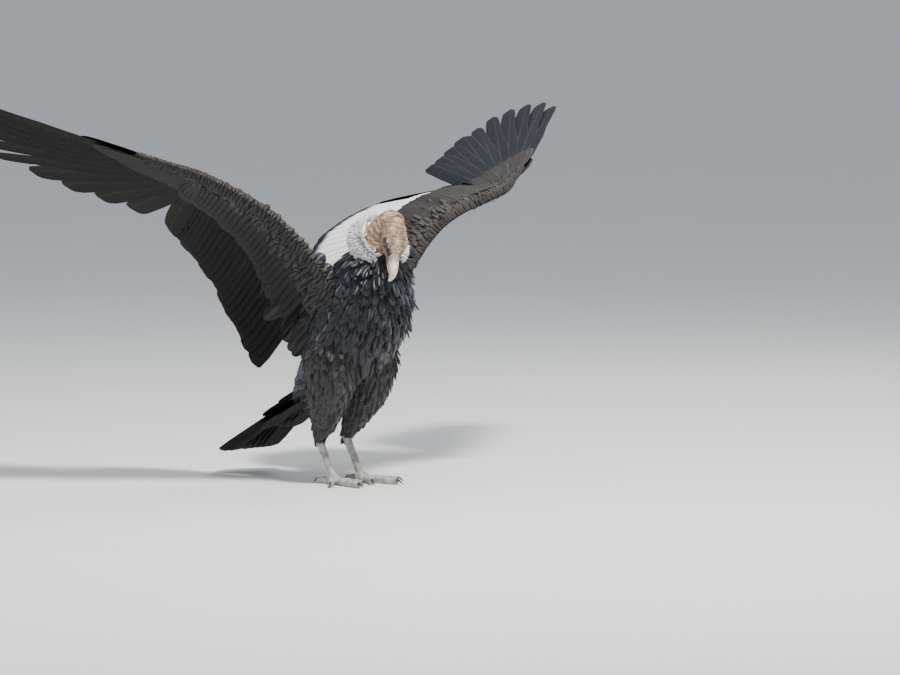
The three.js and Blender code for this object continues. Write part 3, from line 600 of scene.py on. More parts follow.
for side, wing in WINGS.items():
    u = np.linspace(0, 1, len(PRIMARIES))
    flight_feathers(
        f"wing_{side}_primaries", wing, 1.07 + 0.87 * u,
        np.array(PRIMARIES) * (1 + 0.012 * rng.uniform(-1, 1, len(PRIMARIES))), 68 + 10 * u,
        [*[INNER_PRIMARY] * 4, *[PRIMARY] * 6], SHINGLE * 1.3, 0.6, 0.0)
    u = np.linspace(0, 1, ARM_FLIGHT)
    flight_feathers(
        f"wing_{side}_secondaries", wing, 0.08 + 0.895 * u,
        (325 + 37 * np.minimum(1, u * 3)) * (1 + 0.02 * rng.uniform(-1, 1, ARM_FLIGHT)),
        np.full(ARM_FLIGHT, 64.0), [SECONDARY] * ARM_FLIGHT, SHINGLE, 0.72, np.clip(u * 8, 0, 1) * 0.97)


# Coverts: tiers of shorter feathers that lie over and under the roots of the flight feathers. The
# greater ones above the arm are white, those nearer the leading edge grey-black with a soft sheen.
covert_finish = plume_finish("covert_plumes", (0.014, 0.0125, 0.012), (0.10, 0.092, 0.088), gloss=0.55,
                             glint=0.2, coat=0.0)
dark_covert_finish = plume_finish("dark_covert_plumes", (0.010, 0.010, 0.011), (0.06, 0.058, 0.055),
                                  under=(0.012, 0.012, 0.011), gloss=0.55)
COVERT_RINGS = 14
COVERT_SHAPE = [(0, 0.3, 0.3), (0.3, 0.46, 0.46), (0.7, 0.5, 0.5), (0.88, 0.4, 0.4), (1, 0.16, 0.16)]


def covert_tier(name, wing, q, back, height, length, width, finish, white=0.0, droop=0.0):
    """Coverts that leave the flesh at back, a share of the chord, and lie height over the flight feathers."""
    at, beside = lie(wing, q), lie(wing, q + 0.02)
    length = (length * (1 + 0.05 * rng.uniform(-1, 1, len(q))))[:, None]
    along = np.linspace(0, 1, COVERT_RINGS)[None]
    reach = (back - REFERENCE) * at["depth"] + length * along
    heights = height + rng.uniform(-1, 1, (len(q), 1)) - droop * along * length
    spine, lead, up = on_line(at, beside, reach, heights, SHINGLE)
    outer, inner = (np.outer(np.full(len(q), width), half) for half in outline(COVERT_RINGS, COVERT_SHAPE))
    return woven(name, spine, lead, up, outer, inner, finish, columns=5, rib=0.5, cup=0.1, white=white)


ARM_COVERTS, HAND_COVERTS = np.linspace(0.1, 0.975, 26), np.linspace(1.06, 1.975, 13)
white_above = np.clip((ARM_COVERTS - 0.24) * 9, 0, 1)
for side, wing in WINGS.items():
    for tier, q, back, height, length, width, finish, white, droop in (
            ("greater", ARM_COVERTS, 0.55, 9, 205 - 40 * ARM_COVERTS, 58, covert_finish, white_above, 0),
            ("median", ARM_COVERTS, 0.3, 18, 150 - 32 * ARM_COVERTS, 52, covert_finish, 0, 0.02),
            ("under", ARM_COVERTS, 0.55, -9, 180 - 40 * ARM_COVERTS, 56, dark_covert_finish, 0, 0),
            ("primary", HAND_COVERTS, 0.4, 7, 135 + 15 * HAND_COVERTS, 44, covert_finish, 0, 0),
            ("under_primary", HAND_COVERTS, 0.4, -7, 110 + 10 * HAND_COVERTS, 46, dark_covert_finish, 0, 0)):
        covert_tier(f"wing_{side}_{tier}_coverts", wing, q, back, height, length, width, finish, white, droop)


# The alula: three small stiff feathers on the thumb, close along the hand's leading edge.
def alula(name, wing):
    k = np.arange(3)
    at = station(wing, 1.08 + 0.1 * k)
    along = unit(unit(np.array(wing["hand"])) + at["chord"] * (0.14 * (2 - k))[:, None])
    root = on_wing(at, 0.26, 0.34) + at["normal"] * (1.6 * (2 - k))[:, None]
    reach = np.linspace(0, 1, 16)[None] * (96 - 17 * k)[:, None]
    spine = root[:, None] + along[:, None] * reach[..., None]
    lead = unit(np.cross(along, at["normal"])) * wing["side"]
    lead = lead * np.sign(-dot(lead, at["chord"]))
    outer, inner = (np.outer(np.full(3, 20.0), half) for half in outline(16, COVERT_SHAPE))
    lead, up = (np.broadcast_to(way[:, None], spine.shape) for way in (lead, at["normal"]))
    woven(name, spine, lead, up, outer, inner, covert_finish, columns=7, rib=0.8, cup=0.1)


for side, wing in WINGS.items():
    alula(f"wing_{side}_alula", wing)


# Small feathers: round-ended contour feathers, thousands of them, rooted in the skin row by row and
# lifted a little from it, so that each row covers the roots of the next.
CONTOUR_SPOTS = np.array([0, 0.24, 0.46, 0.66, 0.82, 0.93, 0.985, 1.0])
CONTOUR_WIDTHS = np.array([0.22, 0.4, 0.48, 0.5, 0.42, 0.28, 0.14, 0.03])


def turned(first, second, angle):
    """Both directions after a turn from the first towards the second."""
    return first * np.cos(angle) + second * np.sin(angle), second * np.cos(angle) - first * np.sin(angle)


def contour(name, beds, finish, lift, curl, ruffle, cup=0.2, **labels):
    """Each bed is a row's roots, ways, outward directions, lengths, widths and places on the skin."""
    root, way, face, length, width, place = (np.concatenate(part) for part in zip(*beds))
    count = len(root)
    way = unit(way - face * dot(way, face))
    side = np.cross(face, way)
    way, side = turned(way, side, rng.normal(0, ruffle, (count, 1)))
    way, face = turned(way, face, (lift + rng.normal(0, ruffle * 0.7, (count, 1))).clip(0.02))
    side, face = turned(side, face, rng.normal(0, ruffle, (count, 1)))
    s = CONTOUR_SPOTS[None, :, None]
    bend = curl + rng.normal(0, ruffle * 0.35, (count, 1))
    long = length[:, None, None]
    spine = root[:, None] + way[:, None] * s * long - face[:, None] * bend[:, :, None] * long * s**2
    along = unit(np.gradient(spine, axis=1))
    lead = np.broadcast_to(side[:, None], spine.shape)
    up = unit(np.cross(along, lead))
    up = up * np.sign(dot(up, face[:, None]))
    half = np.outer(width, CONTOUR_WIDTHS) * rng.uniform(0.93, 1.07, (count, len(CONTOUR_SPOTS)))
    other = half * rng.uniform(0.85, 1.15, (count, 1))
    return woven(name, spine, lead, up, half, other, finish, thick=0.45, cup=cup, place=place,
                 shares=CONTOUR_SPOTS, **labels)


def varied_sizes(size, spread, count):
    return size * rng.uniform(1 - spread, 1 + spread, count)


def on_face(wing, profile, outwards, q, back, ahead, hug):
    """Roots on a wing's face at a share back of its chord, the slope there and the outward direction."""
    at = station(wing, q)
    table = np.array(profile)
    root, next_root = (on_wing(at, b, np.interp(b, *table.T) * hug) for b in (back, back + ahead))
    slope = unit(next_root - root)
    face = unit(np.cross(at["span"], slope)) * wing["side"]
    return at, root, slope, face * np.sign(dot(face, at["normal"]) * outwards)


# The lesser coverts' paler grey-brown colour is painted sheen, the light that the leading edge catches.
lesser_painted_sheen_finish = plume_finish("lesser_plumes_painted_sheen", (0.024, 0.0205, 0.0185), (0.105, 0.092, 0.083), gloss=0.58,
                             glint=0.22, coat=0.0, barbs=60.0)


def small_coverts(name, wing, profile, outwards, backs, finish, spacing):
    """Rows of small feathers from the leading edge back, on the wing's upper or lower face."""
    beds = []
    for row, back in enumerate(backs):
        q = np.arange(0.0, 1.99, spacing) + (row % 2) * spacing / 2
        q = q + rng.uniform(-0.2, 0.2, len(q)) * spacing
        at, root, slope, face = on_face(wing, profile, outwards, q, back, 0.06, 0.9)
        own = lie(wing, q)["along"]
        way = unit(slope + 0.9 * (own - at["chord"] * dot(own, at["chord"])))
        scale = np.clip(at["depth"][:, 0] / 140, 0.45, 1)
        length = varied_sizes((26 + 50 * back) * scale, 0.2, len(q))
        width = varied_sizes((15 + 13 * back) * scale, 0.2, len(q))
        place = np.stack([q / 2.1, np.full(len(q), 0.5 + 0.45 * outwards * (0.04 + back))], 1)
        beds.append((root, way, face, length, width, place))
    return contour(name, beds, finish, lift=0.08, curl=0.03, ruffle=0.11, cup=0.06)


UPPER_ROWS = [0.0, 0.02, *np.arange(0.045, 0.56, 0.043)]
LOWER_ROWS = [0.0, 0.02, *np.arange(0.06, 0.55, 0.06)]
for side, wing in WINGS.items():
    small_coverts(f"wing_{side}_lesser_coverts", wing, UPPER_FACE, 1, UPPER_ROWS, lesser_painted_sheen_finish, 0.019)
    small_coverts(f"wing_{side}_under_lesser_coverts", wing, LOWER_FACE, -1, LOWER_ROWS, dark_covert_finish,
                  0.022)


# The trunk's coat: glossy black feathers, long and ruffled on the breast, flatter on the back.
body_finish = plume_finish("body_plumes", (0.008, 0.008, 0.010), (0.045, 0.046, 0.05), gloss=0.33,
                           under=(0.02, 0.02, 0.021), sheen=0.15, barbs=60.0,
                           shaft_colour=(0.02, 0.02, 0.022))


def on_flesh(rows, t, turn, grow, first=0.0):
    """Roots on a swelling, the way along it from there, the outward direction, and places on its skin."""
    root = flesh_at(rows, t, turn, grow)
    ahead, behind = (flesh_at(rows, np.clip(t + step, first, 1), turn, grow) for step in (0.02, -0.02))
    way = unit(ahead - behind)
    face = unit(np.cross(flesh_at(rows, t, turn + 0.03, grow) - root, way))
    face = face * np.sign(dot(face, root - between(rows, t)[:, :3]))
    return root, way, face, np.stack([(turn / (2 * np.pi)) % 1.0, t], 1)


def trunk_coat(name, first, last, rows, turns, length, width, lift, ruffle, spacing):
    beds = []
    for row, t in enumerate(np.linspace(first, last, rows)):
        girth = between(TRUNK, t)[0, 3] * 2 * np.pi * (turns[1] - turns[0]) / 360
        count = max(3, int(girth / spacing))
        turn = np.radians(np.linspace(*turns, count) + (row % 2) * (turns[1] - turns[0]) / count / 2)
        turn = turn + rng.uniform(-0.25, 0.25, count) * np.radians((turns[1] - turns[0]) / count)
        tt = np.clip(t + rng.uniform(-0.3, 0.3, count) / rows, 0, 1)
        *bed, place = on_flesh(TRUNK, tt, turn, -COAT_DEPTH)
        beds.append((*bed, varied_sizes(length, 0.15, count), varied_sizes(width, 0.15, count), place))
    return contour(name, beds, body_finish, lift=lift, curl=0.12, ruffle=ruffle)


trunk_coat("breast_coat", 0.02, 0.62, 48, (196, 344), 50, 23, 0.2, 0.19, 10.5)
trunk_coat("back_coat", 0.02, 0.9, 48, (-14, 194), 52, 27, 0.13, 0.09, 13)
trunk_coat("belly_coat", 0.58, 0.98, 28, (190, 350), 44, 20, 0.18, 0.16, 10.5)


# Scapulars: longer feathers that lie from the shoulder back over the root of each wing.
SCAPULARS = 9  # in each row


def scapulars(name, wing):
    beds = []
    for back in np.linspace(0.0, 0.95, 13):
        q = np.linspace(-0.16, 0.22, SCAPULARS) + rng.uniform(-0.01, 0.01, SCAPULARS)
        at, root, slope, face = on_face(wing, UPPER_FACE, 1, q, back, 0.05, 0.92)
        length = varied_sizes(62 + 70 * back, 0.1, SCAPULARS)
        place = np.stack([0.5 + q, np.full(SCAPULARS, 0.02 + 0.9 * back)], 1)
        width = np.full(SCAPULARS, 34 + 12 * back)
        beds.append((root, unit(slope - 0.25 * at["span"]), face, length, width, place))
    contour(name, beds, body_finish, lift=0.12, curl=0.05, ruffle=0.08)


for side, wing in WINGS.items():
    scapulars(f"scapulars_{side}", wing)


# Thigh feathers: the loose dark trousers down to the heel, browner than the trunk.
thigh_finish = plume_finish("thigh_plumes", (0.016, 0.0145, 0.0135), (0.07, 0.063, 0.058), gloss=0.55,
                            sheen=0.2, barbs=60.0, shaft_colour=(0.035, 0.03, 0.028))


def thigh_coat(name, leg):
    rows, beds = thigh_rows(leg), []
    for row, t in enumerate(np.linspace(0.02, 0.92, 44)):
        count = max(11, int(between(rows, t)[0, 3] * 2 * np.pi / 10.5))
        turn = 2 * np.pi * (np.arange(count) + 0.5 * (row % 2) + rng.uniform(-0.25, 0.25, count)) / count
        tt = np.clip(t + rng.uniform(-0.012, 0.012, count), 0, 1)
        *bed, place = on_flesh(rows, tt, turn, -THIGH_DEPTH, first=-0.02)
        length, width = (varied_sizes(size, 0.15, count) for size in (48 - 22 * t, 19 - 8 * t))
        beds.append((*bed, length, width, place))
    contour(name, beds, thigh_finish, lift=0.16, curl=0.1, ruffle=0.12)


for side, leg in LEGS.items():
    thigh_coat(f"thigh_{side}_coat", leg)


# The tail: twelve stiff feathers in a half-closed fan, left over right with the middle pair on top,
# and coverts above and below that hide their roots.
TAIL_FOOT = np.array([0, 168, 238.0])
TAIL_WAY = unit(np.array([0, 0.865, -0.5]))
TAIL_LENGTH, TAIL_SPREAD, TAIL_STEP = 335, math.radians(13), 1.3


def tail_tier(name, pairs, height, length, width, start, rings, spread, shape, finish, replaced=()):
    leftwards, up = np.array([1.0, 0, 0]), unit(np.cross([1.0, 0, 0], TAIL_WAY))
    out = np.repeat((np.arange(pairs) + 0.5) / pairs, 2)
    side = np.tile([1.0, -1.0], pairs)
    step = TAIL_STEP * (2 * np.repeat(np.arange(pairs), 2) + (side < 0)) * 6 / pairs
    way, _ = turned(TAIL_WAY[None], leftwards[None], (side * TAIL_SPREAD * spread * out)[:, None])
    foot = TAIL_FOOT + TAIL_WAY * start + up * (height - step)[:, None]
    foot = foot + leftwards * (side * 24 * out)[:, None]
    long = length * (1 - 0.1 * out**2) * (1 + 0.012 * rng.uniform(-1, 1, 2 * pairs))
    reach = np.outer(long, np.linspace(0, 1, rings))[..., None]
    spine = foot[:, None] + way[:, None] * reach - up * (3e-5 * reach**2)
    along = unit(np.gradient(spine, axis=1))
    lead = unit(np.cross(along, np.broadcast_to(up, along.shape))) * side[:, None, None]
    ups = np.cross(lead, along)
    ups = ups * np.sign(dot(ups, up))
    outer, inner = (np.outer(np.full(2 * pairs, width), half) for half in outline(rings, shape))
    return woven(name, spine, lead, ups, with_splits(outer, 0.4, 0.3), with_splits(inner, 0.8, 0.4), finish,
                 columns=7, thick=0.6, rib=1.0, cup=0.04, replaced=replaced)


tail_tier("tail_feathers", 6, 3, TAIL_LENGTH, 60.0, 28, 44, 1.0, SECONDARY, flight_finish, ("tail",))
for name, height, length, width, start, rings in (
        ("upper_tail_coverts", 13, 165, 50.0, 6, 16), ("upper_tail_coverts_short", 18, 105, 44.0, -6, 14),
        ("under_tail_coverts", -14, 190, 50.0, 6, 16), ("under_tail_coverts_short", -18, 120, 46.0, -8, 14)):
    tail_tier(name, 4, height, length, width, start, rings, 1.1, COVERT_SHAPE, dark_covert_finish)


# The ruff: a collar of dense white down on an arc round the base of the neck, open below the throat.
RUFF_MIDDLE = np.array([0, -116, 636.0])
RUFF_WAY = unit(np.array([0, -0.82, 0.57]))
RUFF_RING, RUFF_CORE, RUFF_OPEN = 58, 13, math.radians(80)
RUFF_TUFTS = 3200

RUFF_TOP = unit(np.cross([1.0, 0, 0], -RUFF_WAY))


def ruff_out(turn):
    return np.sin(turn)[:, None] * np.array([1.0, 0, 0]) + np.cos(turn)[:, None] * RUFF_TOP


def ruff_core():
    reach = math.pi - RUFF_OPEN / 2
    turn = np.linspace(-reach, reach, 49)
    slim = RUFF_CORE * np.sqrt(np.clip(1 - (turn / reach) ** 12, 0.05, 1))[:, None]
    n = 14
    out, middle = ruff_out(turn), RUFF_MIDDLE
    points = [middle + out * (RUFF_RING + slim * np.cos(a)) + RUFF_WAY * 1.35 * slim * np.sin(a)
              for a in 2 * np.pi * np.arange(n) / n]
    return np.stack(points, 1).reshape(-1, 3), tube(len(turn), n)


white_down = down_finish("white_down", (0.86, 0.86, 0.85), (0.95, 0.95, 0.95))
piece("ruff_core", *ruff_core(), white_down, (), "white_down")

tuft_finish = Finish("white_tufts", Roughness=0.8, Sheen_Weight=0.5, Subsurface_Weight=0.35,
                     Subsurface_Radius=(0.02, 0.02, 0.02))
tuft_grain = tuft_finish.grain(5.0, 5.0, tuft_finish.uv("Vane"), (6.0, 3.0, 1.0))
tuft_material = tuft_finish.done(
    Base_Color=tuft_finish.mix(tuft_grain, (0.90, 0.90, 0.89), (0.97, 0.97, 0.97)),
    Normal=tuft_finish.bump(tuft_grain, 0.4, 0.001))

reach = math.pi - RUFF_OPEN / 2
turn = rng.uniform(-reach, reach, RUFF_TUFTS)
lean = np.radians(rng.uniform(-75, 70, RUFF_TUFTS))
out = ruff_out(turn)
tuft_way, tuft_face = turned(out, RUFF_WAY, lean[:, None])
tuft_way = unit(tuft_way + 0.25 * np.cross(out, RUFF_WAY) * rng.normal(0, 1, (RUFF_TUFTS, 1)))
tuft_root = RUFF_MIDDLE + out * (RUFF_RING - 1) + RUFF_WAY * (9 * np.sin(lean))[:, None]
tuft_length, tuft_width = 31 * rng.uniform(0.7, 1.08, RUFF_TUFTS), 6.5 * rng.uniform(0.7, 1.3, RUFF_TUFTS)
tuft_place = np.stack([(turn + math.pi) / (2 * np.pi), 0.5 + lean / 4], 1)
tuft_bed = (tuft_root, tuft_way, unit(tuft_face), tuft_length, tuft_width, tuft_place)
contour("ruff_down", [tuft_bed], tuft_material, lift=0.02, curl=0.1, ruffle=0.24, slot="white_down",
        replaced=("ruff",))


# The bare head and neck: wrinkled tan skin in folds round the neck, a heavy brow, lids, ear openings
# and painted shade in a dark stripe before the eye, in the sockets, ears and gape. One skin, moulded in the
# head's own frame.
NECK = [(0, -92, 604, 46, 46, 46), (0, -118, 642, 43, 43, 42), (1, -142, 672, 39, 39, 38),
        (3, -166, 690, 34, 34, 35), (3, -184, 684, 29, 29, 32)]
HEAD_PLACE = np.array([-10, -193, 650.0])
HEAD_AHEAD = unit(np.array([-0.3, -0.36, -0.88]))
HEAD_LEFT = unit(np.cross([-0.14, -0.9, 0.415], HEAD_AHEAD))
HEAD_CROWN = np.cross(HEAD_AHEAD, HEAD_LEFT)
HEAD_AXES = np.stack([HEAD_AHEAD, HEAD_LEFT, HEAD_CROWN])
SKULL = [(-58, 0, -5, 20, 19, 22), (-47, 0, -3, 29, 27, 31), (-28, 0, 0, 33.5, 32, 34),
         (-4, 0, 1, 34, 33, 33), (16, 0, 0, 30.5, 30, 30), (33, 0, -1, 24.5, 24, 26),
         (46, 0, -2, 19.5, 19.5, 21.5), (52, 0, -3, 17.5, 17.5, 19.5)]
EYE_AT, EYE_BALL = np.array([19, 24.5, 7.0]), 9.2
NECK_FOLDS = 9
FOREHEAD_FOLDS = (-34, -20, -3, 9, 27)  # places of the furrows across the crown
LEFTWARDS = (0.0, -1.0, 0.0)


def from_head(points):
    return np.asarray(points) @ HEAD_AXES + HEAD_PLACE


def to_head(points):
    return (points - HEAD_PLACE) @ HEAD_AXES.T


def in_head(form):
    return from_head(form[0]), form[1]


def brow(side):
    rows = [(2, side * 27, 17, 5, 3.5, 5), (18, side * 26.5, 18.5, 5.5, 4.5, 6),
            (36, side * 20, 13, 3.5, 3, 5)]
    return swelling(rows, 16, 12, across=LEFTWARDS)


def ringed(t, turn):
    return 1.2 * np.cos(2 * np.pi * NECK_FOLDS * t + 0.8 * np.sin(2 * turn))


def bell(x, y=0.0):
    return np.exp(-(x**2 + y**2))


face_skin = one_skin("head_skin", [
    swelling(NECK, 90, 48, fold=ringed), in_head(swelling(SKULL, 40, 40, across=LEFTWARDS)),
    *(in_head(brow(side)) for side in (1, -1)),
], 1.5, 5)
at = to_head(points_of(face_skin))
out = np.empty(len(at) * 3, np.float32)
face_skin.vertices.foreach_get("normal", out)
out = out.reshape(-1, 3) @ HEAD_AXES.T

wrinkle = np.array([noise.fractal(Vector(p / 7.0), 1.0, 2.0, 5) for p in at])
crease = np.array([1 - abs(noise.noise(Vector((p[0] / 5, p[1] / 14, p[2] / 8)))) * 3 for p in at]).clip(0, 1)
fold = np.array([noise.noise(Vector((p[1] / 30, p[2] / 40, 3))) for p in at]) * 5
fold = sum(bell((at[:, 0] - place - fold) / 1.1) for place in FOREHEAD_FOLDS) * (at[:, 2] > 8)
at = at + out * (0.55 * wrinkle - 1.3 * crease**4 - 1.5 * fold)[:, None]
crease = np.maximum(crease, fold)
# Painted shade, near black: round the lids in the eye sockets, in a stripe on the lore under the brow, in the
# ear openings and the gape, and on the jaw.
shade = np.full(len(at), 0.0)
for side in (1, -1):
    centre = EYE_AT * [1, side, 1]
    gap = at - centre
    far = np.linalg.norm(gap, axis=1)
    ring = np.sqrt((gap[:, 0] / 7.2) ** 2 + (gap[:, 2] / 5.4) ** 2)
    facing = (gap[:, 1] * side > 0) & (far < EYE_BALL + 8)
    opening = facing & (ring < 1)
    lid = bell((ring - 1.22) / 0.2) * facing
    target = np.where(opening, EYE_BALL - 2.0, np.maximum(far, EYE_BALL + 0.35) + 1.3 * lid)
    near = facing & (ring < 2.0)
    at = np.where(near[:, None], centre + gap / far[:, None] * target[:, None], at)
    shade = np.maximum(shade, bell((ring - 1.3) / 0.7) * (far < 26))
    # The lore stripe is painted shade under the brow.
    stripe = (at[:, 2] - 11 + 0.16 * (at[:, 0] - 20) + 2.0 * wrinkle) / 8.5
    lore = np.exp(-(stripe**4)) * np.clip((at[:, 0] - 6) / 8, 0, 1) * (at[:, 1] * side > 5)
    shade = np.maximum(shade, lore)
    # On the jaw the darkening is partly the skin's own darker mottling and partly painted shade.
    jaw = bell((at[:, 0] + 6) / 16, (at[:, 2] + 6 + 3 * wrinkle) / 9) * (at[:, 1] * side > 9)
    shade = np.maximum(shade, 0.75 * jaw)
    ear = np.linalg.norm((at - [-22, side * 33, -4]) / [4.6, 6, 3.6], axis=1)
    at = at - np.array([0, side, 0]) * (4.5 * bell(ear))[:, None]
    at = at + out * bell((ear - 1.6) / 0.5)[:, None]
    # The ear openings are painted dark with shade.
    shade = np.maximum(shade, bell(ear))
    cheek = bell((at[:, 0] - 6) / 17, (at[:, 2] + 20) / 7) * (at[:, 1] * side > 4)
    at = at + out * (1.6 * cheek * np.sin((at[:, 2] + 0.4 * at[:, 0]) / 2.2) ** 2)[:, None]
mouth = bell((at[:, 2] + 10) / 1.3) * (at[:, 0] > 29)
at = at - out * (1.8 * mouth)[:, None]
# The gape line is painted dark with shade.
shade = np.maximum(shade, 0.7 * mouth)
move_points(face_skin, from_head(at))
paint(face_skin, "shade", shade)
# Painted shade: the wrinkles and forehead furrows are coloured darker.
paint(face_skin, "hollow", crease**2 * 0.85)

skin_finish = Finish("bare_head_skin", Roughness=0.6, Subsurface_Weight=0.08,
                     Subsurface_Radius=(0.006, 0.003, 0.002))
patchy = skin_finish.grain(45.0, 4.0)
pores = skin_finish.grain(520.0, 3.0)
bristle = skin_finish.cells(420.0, "F1")
skin_colour = skin_finish.mix(skin_finish.step(patchy, 0.35, 0.65), (0.24, 0.15, 0.10), (0.52, 0.36, 0.235))
# Painted shade darkens the skin in its wrinkles and furrows.
skin_colour = skin_finish.mix(skin_finish.painted("hollow"), skin_colour, (0.09, 0.058, 0.045))
# The skin is painted near black with shade in the sockets, lore stripe, ears, gape and jaw.
skin_colour = skin_finish.mix(skin_finish.painted("shade") * 0.95, skin_colour, (0.013, 0.011, 0.011))
speck = skin_finish.step(bristle, 0.1, 0.35, 0.5, 0.0)
skin_colour = skin_finish.mix(speck, skin_colour, (0.07, 0.055, 0.045))
skin_material = skin_finish.done(
    Base_Color=skin_colour, Roughness=skin_finish.step(pores, 0.2, 0.8, 0.5, 0.72),
    Normal=skin_finish.bump(patchy * 0.6 + pores * 0.5, 0.5, 0.0012))
placed("head_skin", face_skin, skin_material, ("head", "neck"))


# Eyes: dark red-brown, wet and deep-set, with a round black pupil under a clear front.
def eye(side):
    rings, sides = 28, 40
    angle = np.linspace(0, np.pi, rings + 1)
    turn = 2 * np.pi * np.arange(sides) / sides
    a, b = np.meshgrid(angle[1:-1], turn, indexing="ij")
    bulge = 1 + 0.05 * np.exp(-((a / 0.45) ** 2))
    ball = np.stack([np.sin(a) * np.cos(b), side * np.cos(a), np.sin(a) * np.sin(b)], -1)
    ball = (ball * (EYE_BALL * bulge)[..., None]).reshape(-1, 3)
    points = np.concatenate([ball, [[0, side * EYE_BALL * 1.05, 0], [0, -side * EYE_BALL, 0]]])
    n = rings - 1
    faces = [[face[0], *face[:0:-1]] for face in tube(n, sides)[:-2]]
    faces += [[n * sides, (i + 1) % sides, i] for i in range(sides)]
    faces += [[n * sides + 1, (n - 1) * sides + i, (n - 1) * sides + (i + 1) % sides] for i in range(sides)]
    if side < 0:
        faces = [f[::-1] for f in faces]
    return from_head(points + EYE_AT * [1, side, 1]), faces, a


for side, name in ((1, "left"), (-1, "right")):
    points, faces, angles = eye(side)
    finish = Finish(f"eye_{name}_wet", Roughness=0.06, Coat_Weight=1.0, Coat_Roughness=0.02)
    ring = finish.painted("ring")
    fibres = finish.grain(900.0, 3.0)
    iris = finish.mix(fibres, (0.05, 0.012, 0.008), (0.13, 0.035, 0.02))
    iris = finish.mix(finish.step(ring, 0.30, 0.34, 1.0, 0.0), iris, (0.002, 0.002, 0.002))
    iris = finish.mix(finish.step(ring, 0.62, 0.78), iris, (0.03, 0.02, 0.018))
    made = piece(f"eye_{name}_ball", points, faces, finish.done(Base_Color=iris), (f"eye_{name}",), "eye")
    paint(made.data, "ring", np.concatenate([angles.ravel(), [0.0, np.pi]]))


# The bill: a soft dark cere with open nostrils, then ivory horn that swells and hooks over the lower
# half. Both halves are moulded in the head's frame.
UPPER_BILL = [(50, 0, 0.5, 15.5, 16.5, 8), (64, 0, 0.5, 14.2, 15, 8.5), (78, 0, 0, 12.6, 13.6, 9),
              (88, 0, -0.5, 11.4, 14.2, 9.5), (97, 0, -4, 9.8, 12.2, 8), (104, 0, -11, 7.4, 8.6, 6.2),
              (107, 0, -20, 4.6, 5.2, 4.2), (106.5, 0, -28, 1.6, 1.8, 1.6)]
LOWER_BILL = [(50, 0, -14.2, 14, 4.4, 6), (66, 0, -14, 12.2, 4, 6), (82, 0, -13.6, 9.6, 3.4, 5.6),
              (94, 0, -13.4, 5.4, 2.6, 4)]
BILL_START, CERE_END, BILL_END = 50, 79.0, 107


def bill_finish(name):
    finish = Finish(name, Coat_Roughness=0.25)
    share = finish.painted("share")
    lines = finish.grain(60.0, 5.0, None, (1.0, 1.0, 6.0))
    ivory = finish.mix(lines, (0.50, 0.40, 0.27), (0.80, 0.74, 0.62))
    cere = finish.mix(lines, (0.16, 0.12, 0.10), (0.38, 0.32, 0.27))
    colour = finish.mix(finish.step(share + lines * 0.25, 0.32, 0.6), cere, ivory)
    rough = finish.step(share, 0.45, 0.6, 0.62, 0.30)
    return finish.done(Base_Color=colour, Roughness=rough, Normal=finish.bump(lines, 0.25, 0.0008))


bill_material = bill_finish("bill_horn_and_cere")


def bill(name, rows, start, replaced):
    points, faces = swelling(rows, 72, 44, across=LEFTWARDS)
    t = np.repeat(np.linspace(0, 1, 73), 44)
    x, y, z = points.T
    step = bell((x - CERE_END) / 2.0)
    middle = between(rows, t)[:, :3]
    way = unit(points - middle)
    if start == "upper":
        for side in (1, -1):
            pit = np.sqrt(((x - 67) / 6.5) ** 2 + ((z - 5.5) / 2.6) ** 2)
            points = points - np.array([0, side, 0]) * (5.0 * np.exp(-(pit**4)) * (y * side > 2))[:, None]
            rim = bell((pit - 1.25) / 0.25) * (y * side > 2)
            points = points + way * (0.7 * rim)[:, None]
        points = points - way * (0.8 * step)[:, None]
    ripple = np.array([noise.fractal(Vector(p / 6.0), 1.0, 2.0, 4) for p in points])
    points = points + way * (0.22 * ripple)[:, None]
    made = piece(name, from_head(points), faces, bill_material, replaced, "bill_horn")
    paint(made.data, "share", (x - BILL_START) / (BILL_END - BILL_START))


bill("bill_upper_horn", UPPER_BILL, "upper", ("bill_upper",))
bill("bill_lower_horn", LOWER_BILL, "lower", ("bill_lower",))


# Shanks and feet: pale grey scaly skin over bone, long toes with ringed scutes above and pads below,
# and blunt dark claws. One skin for each leg.
TOES = [
    {"name": "middle", "heading": 8, "joints": (36, 32, 26, 20), "thick": 9.5, "claw": 30},
    {"name": "inner", "heading": -21, "joints": (30, 26, 20), "thick": 9, "claw": 28},
    {"name": "outer", "heading": 44, "joints": (28, 22, 18, 14), "thick": 8.5, "claw": 25},
    {"name": "hind", "heading": 176, "joints": (24, 22), "thick": 8, "claw": 24},
]
TOE_WEB = 13
PAD = [(0, -17, 12, 12, 8, 15), (0, -6, 13, 17.5, 14, 16), (0, 6, 14, 16.5, 15, 17), (0, 16, 13, 11, 9, 16)]
SCUTE = 3.6  # length of one scute


def toe_rows(toe):
    heading = math.radians(toe["heading"])
    way = np.array([math.sin(heading), -math.cos(heading), 0])
    total = sum(toe["joints"])
    thick = toe["thick"]
    rows, gone = [(0, 0, 14, thick + 3.5, 10, 13)], 0
    for k, joint in enumerate(toe["joints"]):
        slim = 1 - 0.34 * gone / total
        middle, knuckle = way * (TOE_WEB + gone + joint / 2), way * (TOE_WEB + gone + joint)
        rise = 8.2 if k == len(toe["joints"]) - 1 else 9.6
        rows.append((middle[0], middle[1], 9, thick * slim * 0.92, thick * slim * 0.85, 11.5))
        rows.append((knuckle[0], knuckle[1], rise, thick * slim, thick * slim * 1.02, rise + 3))
        gone += joint
    end = way * (TOE_WEB + total)
    end[2] = 8.2
    return rows, way, end, total


def stand_on(points, leg):
    points = points * [leg["side"], 1, 1] + leg["sole"]
    points[:, 2] = np.maximum(points[:, 2], 0.0)
    return points


def shown(form, leg):
    faces = form[1] if leg["side"] > 0 else [f[::-1] for f in form[1]]
    return stand_on(form[0], leg), faces


